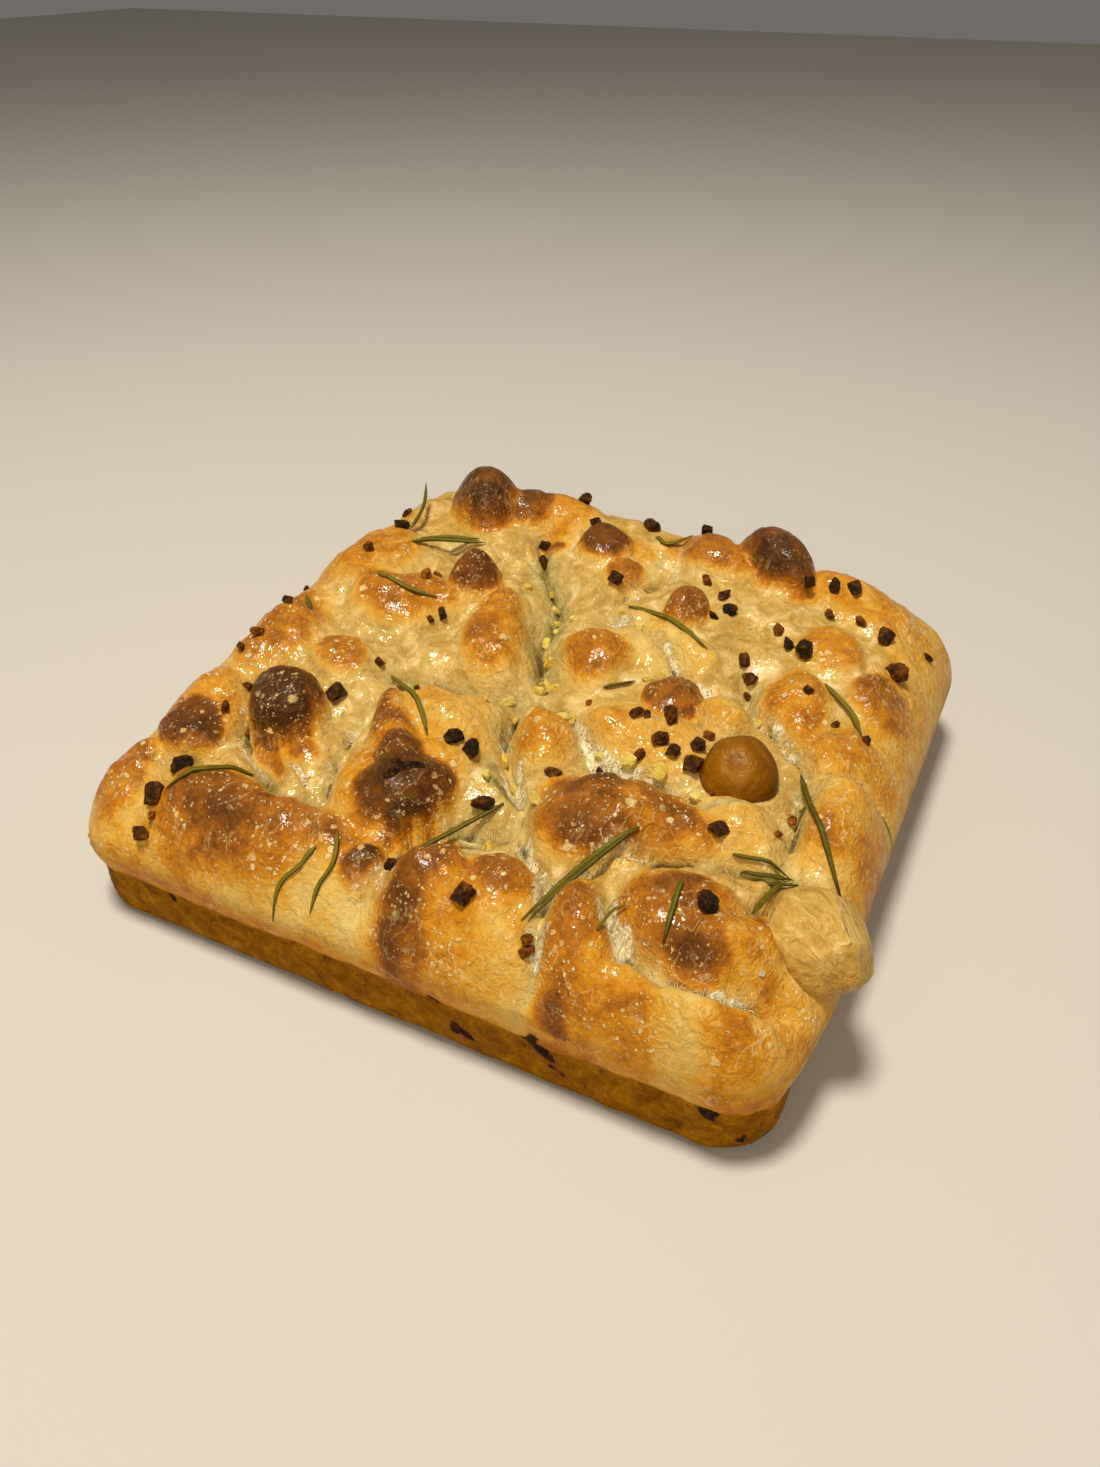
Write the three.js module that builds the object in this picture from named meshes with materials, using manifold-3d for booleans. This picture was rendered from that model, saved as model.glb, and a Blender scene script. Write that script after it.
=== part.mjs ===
// A focaccia baked in a square pan: one tall, blistered loaf with chopped garlic and
// rosemary baked into its crust. The whole food is one piece, so it is one solid.
// Millimetres, +Z up. The origin is the middle of the flat underside. -Y is the front.

import * as THREE from 'three';
import { mergeVertices } from 'three/addons/utils/BufferGeometryUtils.js';
import Module from 'manifold-3d';

const wasm = await Module();
wasm.setup();

// ---- Driving dimensions ----

const HALF_X = 102.5;          // half the width of the part that touched the pan
const HALF_Y = 100.5;          // half its depth
const CORNER = 16;             // radius of the pan's upright corners
const PAN_LINE = 17;           // height of the smooth wall that touched the pan
const RIM = 24;                // height at which the crust starts to round over
const SHOULDER = 20;           // width of the rounded shoulder
const FOOT = 2.6;              // how far the lower edge is rounded in
const SPRING = { left: 1.5, right: 4.5, front: 1.5, back: 2 };   // oven spring past the pan
const SPRING_BAND = 26;        // width of the band that springs outward

// Height of the risen top: front, middle and back rows; left, middle and right in each.
const TOP_HEIGHTS = [
  [41, 43, 41],
  [57, 51, 48],
  [56, 61, 49],
];
const GRID_X = 90;             // where the outer columns of those heights lie
const GRID_Y = 88;             // where the front and back rows lie

const PILLOW = { reach: 1.35, flat: 1.3, edge: 0.9 };            // how full a mound is
const CREASE = { narrow: 0.8, sharp: 1.05 };                     // how a crease falls away
const RIPPLE = { rise: 0.8, lengthX: 8.5, lengthY: 7.3 };        // gentle unevenness of the dough

const CELLS = 48;              // cells of the top, each way
const FLAT_SHARE = 0.74;       // share of those cells that lies inside the shoulder
const PATCH = { left: -50, right: 60, front: -50, back: 44 };    // middle patch of the underside
const UNEVEN = 0.05;           // how far a bubble strays from an even ellipsoid
const SEED = 20;

// ---- Risen forms ----
// Soft mounds of dough: middle, half length, half width, turn in degrees, rise.

const MOUNDS = [
  { name: 'front left', x: -48, y: -88, long: 30, wide: 13, turn: 4, rise: 7 },
  { name: 'front pair', x: -9, y: -87, long: 8, wide: 6, turn: 0, rise: 3.5 },
  { name: 'front middle', x: 8, y: -90, long: 12, wide: 14, turn: 10, rise: 7.5 },
  { name: 'front golden', x: 27, y: -91, long: 17, wide: 14, turn: 0, rise: 4.5 },
  { name: 'front small', x: 26, y: -79, long: 9, wide: 8, turn: 0, rise: 5 },
  { name: 'broad brown', x: 39, y: -51, long: 20, wide: 14, turn: 12, rise: 9 },
  { name: 'broad brown side', x: 56, y: -45, long: 14, wide: 11, turn: -20, rise: 6 },
  { name: 'dark right', x: 71, y: -74.5, long: 20, wide: 14.5, turn: 0, rise: 8.5 },
  { name: 'corner ridge', x: 75, y: -98, long: 30, wide: 12, turn: 4, rise: 8 },
  { name: 'corner left flank', x: 49, y: -88, long: 10, wide: 15, turn: 10, rise: 7 },
  { name: 'corner bump', x: 79, y: -96, long: 9.5, wide: 7.5, turn: 0, rise: 12 },
  { name: 'tail of the black bubble', x: -29, y: -43, long: 15, wide: 5.5, turn: 125, rise: 8 },
  { name: 'skirt of the black bubble', x: -19, y: -59, long: 19, wide: 15, turn: 40, rise: 6 },
  { name: 'orange middle', x: 12, y: -29, long: 10, wide: 11, turn: 20, rise: 8.5 },
  { name: 'middle terrace', x: -17, y: -34, long: 17, wide: 11, turn: -10, rise: 6 },
  { name: 'garlic hill', x: 35, y: -17, long: 20, wide: 12, turn: -10, rise: 5 },
  { name: 'orange left of garlic', x: 24, y: -18, long: 8, wide: 7, turn: 0, rise: 5 },
  { name: 'pale knob', x: 55, y: 2, long: 8, wide: 9, turn: 0, rise: 8 },
  { name: 'orange north', x: 10, y: 8, long: 10, wide: 12, turn: 10, rise: 8 },
  { name: 'cream hill', x: 24, y: 24, long: 20, wide: 12, turn: -20, rise: 5 },
  { name: 'long orange', x: -21, y: 7, long: 20, wide: 11, turn: 110, rise: 8 },
  { name: 'left patch', x: -58, y: 10, long: 17, wide: 12, turn: 20, rise: 5 },
  { name: 'left small', x: -60, y: -23, long: 10, wide: 9, turn: 0, rise: 4 },
  { name: 'left rim', x: -84, y: -20, long: 13, wide: 22, turn: 5, rise: 4 },
  { name: 'left rim back', x: -80, y: 26, long: 15, wide: 18, turn: -10, rise: 5 },
  { name: 'left rim front', x: -84, y: -56, long: 14, wide: 12, turn: 0, rise: 5 },
  { name: 'back brown', x: -11, y: 65, long: 9, wide: 10, turn: 0, rise: 6.5 },
  { name: 'back pair', x: -31, y: 61, long: 7, wide: 8, turn: 0, rise: 5 },
  { name: 'back amber', x: 1, y: 54, long: 7, wide: 8, turn: 0, rise: 5 },
  { name: 'back ridge', x: 22, y: 76, long: 17, wide: 10, turn: -10, rise: 6 },
  { name: 'back left', x: -38, y: 80, long: 18, wide: 12, turn: -10, rise: 5 },
  { name: 'back right', x: 74, y: 76, long: 18, wide: 13, turn: -20, rise: 4 },
  { name: 'right ridge', x: 70, y: 13, long: 17, wide: 9, turn: 95, rise: 5 },
  { name: 'right speckled', x: 88, y: -2, long: 14, wide: 13, turn: 0, rise: 4 },
  { name: 'right cream', x: 72, y: -38, long: 15, wide: 9, turn: -15, rise: 4.5 },
  { name: 'right glassy', x: 91, y: 31, long: 9, wide: 12, turn: 0, rise: 4 },
  { name: 'right cone', x: 72, y: 45, long: 9, wide: 12, turn: 0, rise: 5 },
  { name: 'right lobe', x: 95, y: -22, long: 12, wide: 16, turn: 5, rise: 9 },
  { name: 'corner lobe', x: -93, y: -84, long: 9, wide: 12, turn: 20, rise: 5 },
  { name: 'black bubble', x: -11.5, y: -65, long: 13.5, wide: 10.5, turn: 30, rise: 11 },
  { name: 'black bubble crown', x: -18.5, y: -56.5, long: 9, wide: 6.5, turn: 120, rise: 10 },
  { name: 'streaked bubble', x: -82, y: -67, long: 11, wide: 8.5, turn: -10, rise: 6 },
  { name: 'brown knob', x: 38, y: 2, long: 10, wide: 9.5, turn: 109, rise: 7 },
];

// Blown bubbles with a sharp foot: their half length lies along the turn, and the lift is
// how far their middle stands over the risen top.

const BUBBLES = [
  { name: 'dark left', x: -61, y: -50, long: 13, wide: 11, turn: 133, rise: 12.5, lift: 0 },
  { name: 'amber', x: 65.5, y: -20, long: 11, wide: 10.5, turn: 104, rise: 11, lift: 0 },
  { name: 'amber back', x: 26, y: 42.5, long: 8.5, wide: 7.6, turn: 108, rise: 9.5, lift: 0 },
  { name: 'brown back', x: -43, y: 29, long: 11, wide: 9.5, turn: 121, rise: 10, lift: 0 },
  { name: 'back right knob', x: 44, y: 80, long: 17, wide: 10.5, turn: -38, rise: 13.5, lift: 0 },
  { name: 'back left knob', x: -61.5, y: 71, long: 14.5, wide: 13, turn: 120, rise: 17, lift: 0 },
  { name: 'back left shoulder', x: -49, y: 75, long: 12, wide: 9.5, turn: 20, rise: 9, lift: 0 },
  { name: 'pale blister', x: 98, y: -61, long: 14.5, wide: 13.5, turn: 0, rise: 11.5, lift: -5 },
];

// Creases that the fingers pressed in: depth, half width and the run from point to point.

const CREASES = [
  { depth: 12, width: 6.5, run: [[-34, 66], [-28, 50], [-19, 40], [-14, 28], [-10, 16], [-2, -4]] },
  { depth: 8.5, width: 5.5, run: [[-3, -12], [-14, -15], [-30, -17], [-42, -20]] },
  { depth: 7.5, width: 4.5, run: [[-1, -10], [10, -15], [18, -20], [34, -30], [60, -33]] },
  { depth: 9, width: 4.5, run: [[-2, -10], [-4, -20], [1, -32], [8, -41], [20, -53]] },
  { depth: 8.5, width: 7, run: [[20, -53], [14, -62], [3, -70], [-5, -80], [-8, -96]] },
  { depth: 11, width: 4.2, run: [[17, -59], [9, -62.5], [2, -66], [-5, -73]] },
  { depth: 7, width: 4.5, run: [[20, -56], [25, -65], [34, -72], [38, -82], [42, -100]] },
  { depth: 6.5, width: 4, run: [[37, -75], [46, -62], [57, -57], [72, -50], [84, -47]] },
  { depth: 7.5, width: 4, run: [[51, -70], [53, -79], [60, -85], [69, -88.5]] },
  { depth: 7, width: 4, run: [[66, -88], [76, -90], [86, -88], [97, -80]] },
  { depth: 8, width: 5.5, run: [[55, 22], [58, 10], [66, 4], [77, -4], [83, -18], [85, -45]] },
  { depth: 5, width: 4.5, run: [[82, -12], [92, -7], [108, -4]] },
  { depth: 6, width: 5, run: [[90, -44], [84, -55], [82, -66]] },
  { depth: 7.5, width: 4, run: [[-76, -46], [-70, -58], [-58, -69], [-45, -76], [-33, -73]] },
  { depth: 4, width: 3, run: [[-66, -60], [-52, -65], [-36, -72]] },
  { depth: 3, width: 5, run: [[-92, -80], [-78, -77], [-66, -74]] },
  { depth: 4, width: 5, run: [[-96, -92], [-88, -88], [-76, -85]] },
  { depth: 4, width: 8, run: [[-33, -76], [-27, -84], [-22, -98]] },
  { depth: 7.5, width: 7, run: [[-42, -36], [-43, -48], [-37, -62], [-33, -74]] },
  { depth: 6, width: 4.5, run: [[0, 40], [8, 32], [20, 29], [28, 22], [38, 10], [58, 10]] },
  { depth: 5, width: 6, run: [[0, 40], [6, 50], [12, 62], [10, 80]] },
  { depth: 5, width: 7, run: [[-28, 50], [-38, 42], [-50, 42], [-64, 48]] },
  { depth: 4, width: 7, run: [[-38, 10], [-44, -6], [-40, -20]] },
  { depth: 4, width: 7, run: [[-44, -6], [-62, -8], [-80, -4]] },
];

// ---- Toppings baked into the crust ----
// Chopped garlic: middle and size of each bit.

const GARLIC = [
  [-53, -38, 6], [-9, -44, 5], [-4, -44, 5.2], [7, -56, 5.5], [-2, -86, 4.5], [20, -89, 5.4],
  [20, -41, 4.6], [30, -32, 4.6], [33, -15, 4.6], [42, -11, 6], [43, -21, 5], [47, -23, 5],
  [52, -17, 4.6], [53, -24, 5], [0, 47, 5], [38, 50, 5], [57, 71, 5], [65, 75, 5], [71, 77, 5],
  [85, 62, 5.5], [91, 46, 6], [55, 48, 4.8], [61, 41, 4.6], [66, 39, 5.6], [50, 29, 4.8],
  [54, 26, 4.8], [68, -44, 5.4], [-75, -80, 7], [-75, -90, 5.8], [-75, -97, 5], [-85, -30, 4.4],
  [-85, -15, 4.6], [-44, 9, 4.6], [-80, 43, 5], [-80, 23, 4.4], [-18, 71, 4.6], [-32, 56, 4.8],
  [-36, 67, 4.6], [75, -73, 6.2], [-3, 84, 5], [18, 83, 4.6], [-30, 86, 5],
];
const GARLIC_SINK = 0.24;      // how far a bit's middle stands over the crust, as a share of its size
const GARLIC_JITTER = 0.16;    // unevenness of its corners

// Rosemary needles: the run of each over the crust, with a lift where it stands up.

const NEEDLES = [
  [[-45, -20], [-30, -32], [-21, -40], [-16, -46]],
  [[8, 39], [24, 34], [40, 24]],
  [[17, -1], [25, 5]],
  [[76, 25], [85, 18], [90, 9]],
  [[80, -11, 1], [89, -28, 0], [98, -45, 1]],
  [[50.5, -54], [43, -67.5], [35.6, -89]],
  [[49.6, -55.4], [43.4, -69.5], [36.8, -88]],
  [[12, -54], [3, -67], [-6, -81]],
  [[67, -68], [68, -76], [69, -84]],
  [[73, -47], [79.5, -46.6], [87, -45]],
  [[85.5, -47], [84.4, -57], [84, -68]],
  [[-57, -72], [-64, -82], [-72, -89]],
  [[-23, -89], [-25, -93], [-29, -97], [-30, -101]],
  [[-20, -84], [-17, -90], [-19, -95], [-19, -99]],
  [[-68, 10], [-57, 9], [-47, 12]],
  [[-71, 41], [-64, 48], [-54, 52]],
  [[-70, 34], [-66, 43], [-57, 49], [-51, 51]],
  [[-78, 46, 0], [-80, 58, 2], [-84, 67, 8]],
  [[1, 79], [7, 75], [13, 84]],
  [[-85, -6], [-78, -13]],
];
const NEEDLE = { wide: 1.8, thick: 1.5, sides: 4, steps: 5, lift: 0.55, sag: 0.4 };

// ---- The risen surface ----

const degrees = (angle) => (angle * Math.PI) / 180;
const clamp = (value, low, high) => Math.min(Math.max(value, low), high);
const powerSum = (values, power) => values.reduce((sum, v) => sum + v ** power, 0) ** (1 / power);

// Position of a point in a form's own axes, as shares of its half length and half width.
function within(form, x, y) {
  const cos = Math.cos(degrees(form.turn));
  const sin = Math.sin(degrees(form.turn));
  const dx = x - form.x;
  const dy = y - form.y;
  return [(dx * cos + dy * sin) / form.long, (dy * cos - dx * sin) / form.wide];
}

// Smooth surface through the nine named heights.
function risenTop(x, y) {
  const weights = (t) => [(t * (t - 1)) / 2, 1 - t * t, (t * (t + 1)) / 2];
  const across = weights(clamp(x / GRID_X, -1.1, 1.1));
  const along = weights(clamp(y / GRID_Y, -1.1, 1.1));
  let height = 0;
  for (let row = 0; row < 3; row += 1) {
    for (let column = 0; column < 3; column += 1) {
      height += along[row] * across[column] * TOP_HEIGHTS[row][column];
    }
  }
  return height;
}

function moundRise(x, y) {
  const rises = MOUNDS.map((mound) => {
    const [u, v] = within(mound, x, y);
    const away = ((u * u + v * v) / PILLOW.reach) ** PILLOW.flat;
    return mound.rise * clamp(1 - away, 0, 1) ** PILLOW.edge;
  });
  return powerSum(rises, 3);
}

const CREASE_STEPS = 5;
for (const crease of CREASES) {
  const points = crease.run.map(([x, y]) => new THREE.Vector3(x, y, 0));
  const curve = new THREE.CatmullRomCurve3(points, false, 'centripetal');
  crease.line = curve.getPoints(CREASE_STEPS * (points.length - 1));
}

function distanceToLine(line, x, y) {
  let nearest = Infinity;
  for (let i = 1; i < line.length; i += 1) {
    const a = line[i - 1];
    const dx = line[i].x - a.x;
    const dy = line[i].y - a.y;
    const t = clamp(((x - a.x) * dx + (y - a.y) * dy) / (dx * dx + dy * dy), 0, 1);
    nearest = Math.min(nearest, Math.hypot(x - a.x - t * dx, y - a.y - t * dy));
  }
  return nearest;
}

function creaseDepth(x, y) {
  const depths = CREASES.map((crease) => {
    const away = distanceToLine(crease.line, x, y) / (CREASE.narrow * crease.width);
    return crease.depth * Math.exp(-(away ** CREASE.sharp));
  });
  return powerSum(depths, 4);
}

function ripple(x, y) {
  const a = Math.sin(x / RIPPLE.lengthX + y / 13) * Math.sin(y / RIPPLE.lengthY - x / 19);
  const b = Math.sin(x / 4.6 + 1.3) * Math.sin(y / 5.2 + x / 31);
  return RIPPLE.rise * (a + 0.4 * b);
}

// Distance inward from the pan's rounded square.
function inset(x, y) {
  const qx = Math.abs(x) - HALF_X + CORNER;
  const qy = Math.abs(y) - HALF_Y + CORNER;
  const outside = Math.hypot(Math.max(qx, 0), Math.max(qy, 0));
  return CORNER - outside - Math.min(Math.max(qx, qy), 0);
}

// Height of the loaf itself, without bubbles: the risen top brought down over the shoulder.
function loafHeight(x, y) {
  const full = risenTop(x, y) + moundRise(x, y) - creaseDepth(x, y) + ripple(x, y);
  const share = clamp(1 - inset(x, y) / SHOULDER, 0, 1);
  return RIM + (full - RIM) * Math.sqrt(1 - share * share);
}

function bubbleMiddle(bubble) {
  return risenTop(bubble.x, bubble.y) + bubble.lift;
}

// Height of the whole surface, bubbles included, on which the toppings lie.
function surface(x, y) {
  const tops = BUBBLES.map((bubble) => {
    const [u, v] = within(bubble, x, y);
    const left = 1 - u * u - v * v;
    return left > 0 ? bubbleMiddle(bubble) + bubble.rise * Math.sqrt(left) : 0;
  });
  return Math.max(loafHeight(x, y), ...tops);
}

// Oven spring: above the pan line the rim swells outward, more on some sides.
function springOut(x, y, z) {
  const upward = clamp((z - PAN_LINE) / (RIM - PAN_LINE), 0, 1);
  const bandX = clamp((Math.abs(x) - HALF_X + SPRING_BAND) / SPRING_BAND, 0, 1);
  const bandY = clamp((Math.abs(y) - HALF_Y + SPRING_BAND) / SPRING_BAND, 0, 1);
  const outX = x > 0 ? SPRING.right : -SPRING.left;
  const outY = y > 0 ? SPRING.back : -SPRING.front;
  return [x + outX * upward * bandX * bandX, y + outY * upward * bandY * bandY];
}

// ---- Solids ----

function stripped(geometry) {
  geometry.deleteAttribute('normal');
  geometry.deleteAttribute('uv');
  return geometry;
}

function toSolid(geometry) {
  const merged = mergeVertices(stripped(geometry), 1e-4);
  return new wasm.Manifold(new wasm.Mesh({
    numProp: 3,
    vertProperties: new Float32Array(merged.attributes.position.array),
    triVerts: new Uint32Array(merged.index.array),
  }));
}

function fromTriangles(points, triangles) {
  const geometry = new THREE.BufferGeometry();
  geometry.setAttribute('position', new THREE.Float32BufferAttribute(points.flat(), 3));
  geometry.setIndex(triangles.flat());
  return geometry;
}

// A point of the square -1..1 moved onto nested rounded squares, so corners stay round.
function ontoOutline(a, b) {
  const ring = Math.max(Math.abs(a), Math.abs(b));
  const px = a * HALF_X;
  const py = b * HALF_Y;
  const qx = clamp(px, -(HALF_X - CORNER) * ring, (HALF_X - CORNER) * ring);
  const qy = clamp(py, -(HALF_Y - CORNER) * ring, (HALF_Y - CORNER) * ring);
  const dx = px - qx;
  const dy = py - qy;
  const longest = Math.hypot(dx, dy);
  const scale = longest > 0 ? Math.max(Math.abs(dx), Math.abs(dy)) / longest : 1;
  return [qx + dx * scale, qy + dy * scale];
}

// Even steps over the flat top, then steps that crowd towards the rim over the shoulder.
function spread(index) {
  const t = (2 * index) / CELLS - 1;
  const s = Math.abs(t);
  const band = SHOULDER / HALF_X;
  const overShoulder = clamp((s - FLAT_SHARE) / (1 - FLAT_SHARE), 0, 1);
  const flat = (s / FLAT_SHARE) * (1 - band);
  const round = 1 - band + band * Math.sin(overShoulder * Math.PI * 0.5);
  return Math.sign(t) * (s < FLAT_SHARE ? flat : round);
}

function loafSolid() {
  const points = [];
  const triangles = [];
  const row = CELLS + 1;

  // Top: a square grid laid over the risen surface.
  for (let j = 0; j < row; j += 1) {
    for (let i = 0; i < row; i += 1) {
      const [x, y] = ontoOutline(spread(i), spread(j));
      const z = loafHeight(x, y);
      points.push([...springOut(x, y, z), z]);
    }
  }
  for (let j = 0; j < CELLS; j += 1) {
    for (let i = 0; i < CELLS; i += 1) {
      const a = j * row + i;
      const [b, c, d] = [a + 1, a + row + 1, a + row];
      const alongCrease = Math.abs(points[a][2] - points[c][2]) < Math.abs(points[b][2] - points[d][2]);
      if (alongCrease) {
        triangles.push([a, b, c], [a, c, d]);
      } else {
        triangles.push([a, b, d], [b, c, d]);
      }
    }
  }

  // Rim of the top, anticlockwise from the front left corner.
  const rim = [];
  for (let i = 0; i < CELLS; i += 1) rim.push(i);
  for (let j = 0; j < CELLS; j += 1) rim.push(j * row + CELLS);
  for (let i = CELLS; i > 0; i -= 1) rim.push(CELLS * row + i);
  for (let j = CELLS; j > 0; j -= 1) rim.push(j * row);

  // Wall: from the rim down past the pan line to the rounded foot.
  const levels = [
    { z: PAN_LINE, out: 0 },
    { z: 5, out: -0.5 },
    { z: 1.2, out: -0.45 * FOOT },
    { z: 0, out: -FOOT },
  ];
  const corners = rim.map((index) => {
    const i = index % row;
    const j = Math.floor(index / row);
    return ontoOutline(spread(i), spread(j));
  });
  let above = rim;
  for (const { z, out } of levels) {
    const below = corners.map(([x, y]) => {
      const grow = 1 + out / HALF_X;
      points.push([...springOut(x * grow, y * grow, z), z]);
      return points.length - 1;
    });
    for (let k = 0; k < below.length; k += 1) {
      const next = (k + 1) % below.length;
      triangles.push([above[k], below[k], below[next]], [above[k], below[next], above[next]]);
    }
    above = below;
  }

  // Underside: each side fans to the corners of a flat middle patch.
  const patch = [
    [PATCH.left, PATCH.front], [PATCH.right, PATCH.front],
    [PATCH.right, PATCH.back], [PATCH.left, PATCH.back],
  ].map(([x, y]) => points.push([x, y, 0]) - 1);
  for (let k = 0; k < above.length; k += 1) {
    const side = Math.floor(k / CELLS);
    const half = (k % CELLS) < CELLS / 2 ? side : (side + 1) % 4;
    triangles.push([patch[half], above[(k + 1) % above.length], above[k]]);
    if (k % CELLS === CELLS / 2) {
      triangles.push([patch[side], patch[(side + 1) % 4], above[k]]);
    }
  }
  triangles.push([patch[0], patch[2], patch[1]], [patch[0], patch[3], patch[2]]);
  return toSolid(fromTriangles(points, triangles));
}

function bubbleSolid(bubble) {
  const geometry = stripped(new THREE.SphereGeometry(1, 14, 8));
  geometry.rotateX(Math.PI / 2);
  const position = geometry.attributes.position;
  for (let i = 0; i < position.count; i += 1) {
    const [x, y, z] = [position.getX(i), position.getY(i), position.getZ(i)];
    const uneven = 1 + UNEVEN * (Math.sin(3 * x + bubble.x) + Math.sin(2.6 * y + bubble.y));
    position.setXYZ(i, x * uneven, y * uneven, z);
  }
  geometry.scale(bubble.long, bubble.wide, bubble.rise);
  geometry.rotateZ(degrees(bubble.turn));
  geometry.translate(bubble.x, bubble.y, bubbleMiddle(bubble));
  return toSolid(geometry);
}

// Small seeded generator of even random numbers from 0 to 1.
function makeRandom(seed) {
  let state = seed;
  return () => {
    state = (state + 0x6d2b79f5) | 0;
    let t = Math.imul(state ^ (state >>> 15), 1 | state);
    t = (t + Math.imul(t ^ (t >>> 7), 61 | t)) ^ t;
    return ((t ^ (t >>> 14)) >>> 0) / 4294967296;
  };
}

function garlicSolid([x, y, size], random) {
  const geometry = mergeVertices(stripped(new THREE.BoxGeometry(size, size * 0.8, size * 0.75)));
  const position = geometry.attributes.position;
  for (let i = 0; i < position.array.length; i += 1) {
    position.array[i] *= 1 + (random() - 0.5) * 2 * GARLIC_JITTER;
  }
  geometry.rotateX((random() - 0.5) * 0.9);
  geometry.rotateY((random() - 0.5) * 0.9);
  geometry.rotateZ(random() * Math.PI);
  geometry.translate(...springOut(x, y, RIM), surface(x, y) + size * GARLIC_SINK);
  return toSolid(geometry);
}

// A needle rests on the high spots under it and bridges the dips with a little sag.
function needlePath(run) {
  const flat = new THREE.CatmullRomCurve3(run.map(([x, y, lift = 0]) => new THREE.Vector3(x, y, lift)));
  const points = flat.getPoints(NEEDLE.steps);
  const ground = points.map((p) => surface(p.x, p.y) + NEEDLE.lift + p.z);
  const heights = [...ground];
  for (let pass = 0; pass < 12; pass += 1) {
    for (let i = 1; i < points.length - 1; i += 1) {
      const held = (heights[i - 1] + heights[i + 1]) / 2 - NEEDLE.sag;
      heights[i] = Math.max(ground[i], held);
    }
  }
  return new THREE.CatmullRomCurve3(points.map((p, i) => new THREE.Vector3(p.x, p.y, heights[i])));
}

function needleSolid(run) {
  const section = new THREE.Shape();
  for (let k = 0; k < NEEDLE.sides; k += 1) {
    const angle = (2 * Math.PI * k) / NEEDLE.sides;
    const x = (NEEDLE.thick / 2) * Math.cos(angle);
    const y = (NEEDLE.wide / 2) * Math.sin(angle);
    if (k === 0) section.moveTo(x, y);
    else section.lineTo(x, y);
  }
  section.closePath();
  return toSolid(new THREE.ExtrudeGeometry(section, {
    steps: NEEDLE.steps,
    bevelEnabled: false,
    extrudePath: needlePath(run),
  }));
}

// ---- The focaccia ----

const random = makeRandom(SEED);
const pieces = [
  ...BUBBLES.map(bubbleSolid),
  ...GARLIC.map((bit) => garlicSolid(bit, random)),
  ...NEEDLES.map(needleSolid),
];
const whole = pieces.reduce((solid, piece) => solid.add(piece), loafSolid());
const mesh = whole.getMesh();

const crust = new THREE.BufferGeometry();
crust.setAttribute('position', new THREE.BufferAttribute(new Float32Array(mesh.vertProperties), 3));
crust.setIndex(new THREE.BufferAttribute(new Uint32Array(mesh.triVerts), 1));
crust.computeVertexNormals();

const focaccia = new THREE.Mesh(crust, new THREE.MeshStandardMaterial({
  color: 0xc98a3a,
  roughness: 0.5,
  metalness: 0,
}));
focaccia.name = 'focaccia';

const group = new THREE.Group();
group.add(focaccia);
export default group;
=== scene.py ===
"""Looks of a focaccia baked in a square pan: crust, blown bubbles, garlic, rosemary and salt."""
import math
from types import SimpleNamespace

import bpy
import numpy as np
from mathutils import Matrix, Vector


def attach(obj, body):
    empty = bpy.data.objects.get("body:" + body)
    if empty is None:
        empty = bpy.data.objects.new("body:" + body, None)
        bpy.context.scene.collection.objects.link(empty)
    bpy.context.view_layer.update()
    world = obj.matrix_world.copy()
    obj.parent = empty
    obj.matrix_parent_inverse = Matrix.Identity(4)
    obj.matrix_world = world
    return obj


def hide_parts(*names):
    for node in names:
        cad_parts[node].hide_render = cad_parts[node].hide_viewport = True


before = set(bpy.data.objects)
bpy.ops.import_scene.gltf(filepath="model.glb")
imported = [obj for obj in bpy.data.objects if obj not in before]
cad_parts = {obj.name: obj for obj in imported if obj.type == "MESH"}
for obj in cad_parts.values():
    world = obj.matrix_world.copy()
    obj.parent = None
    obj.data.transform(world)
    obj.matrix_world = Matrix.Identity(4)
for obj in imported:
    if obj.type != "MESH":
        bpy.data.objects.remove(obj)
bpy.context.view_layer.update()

MM = 0.001

# ---- Driving dimensions in millimetres; the solid's own, unless marked "only here" ----

HALF_X, HALF_Y = 102.5, 100.5          # half the width and depth that touched the pan
CORNER = 16.0                          # radius of the upright corners
PAN_LINE = 17.0                        # height of the smooth wall that touched the pan
RIM = 24.0                             # where the crust starts to round over
SHOULDER = 20.0                        # width of the rounded shoulder
SPRING = dict(left=1.5, right=4.5, front=1.5, back=2.0)      # how far the crust bulges out
SPRING_BAND = 26.0                     # width of the band along each side that bulges
CORNER_TAPER = dict(share=0.8, start=-62, end=-98)           # only here: fades the right bulge to the front
TOP_HEIGHTS = [[41, 43, 41], [57, 51, 48], [56, 61, 49]]     # front, middle and back rows
GRID_X, GRID_Y = 90.0, 88.0            # where the outer of those heights stand
RIPPLE = dict(rise=0.8, x=8.5, y=7.3)  # low waves of the whole top

# A mound is a pillow: how far it reaches, how flat its crown is, how steep its edge.
PILLOW_REACH, PILLOW_FLAT, PILLOW_EDGE = 1.35, 1.3, 0.9
CREASE_SHARP = 1.05                    # 1 is a pointed furrow, 2 a round one
SLIT_DEPTH, SLIT_WIDTH = 2.2, 0.9      # only here: the dark slits along the creases

# Browning of the plain crust: front, middle and back rows; left, middle and right in each.
TOP_BAKE = [[0.30, 0.30, 0.34], [0.30, 0.10, 0.26], [0.36, 0.22, 0.30]]

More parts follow.
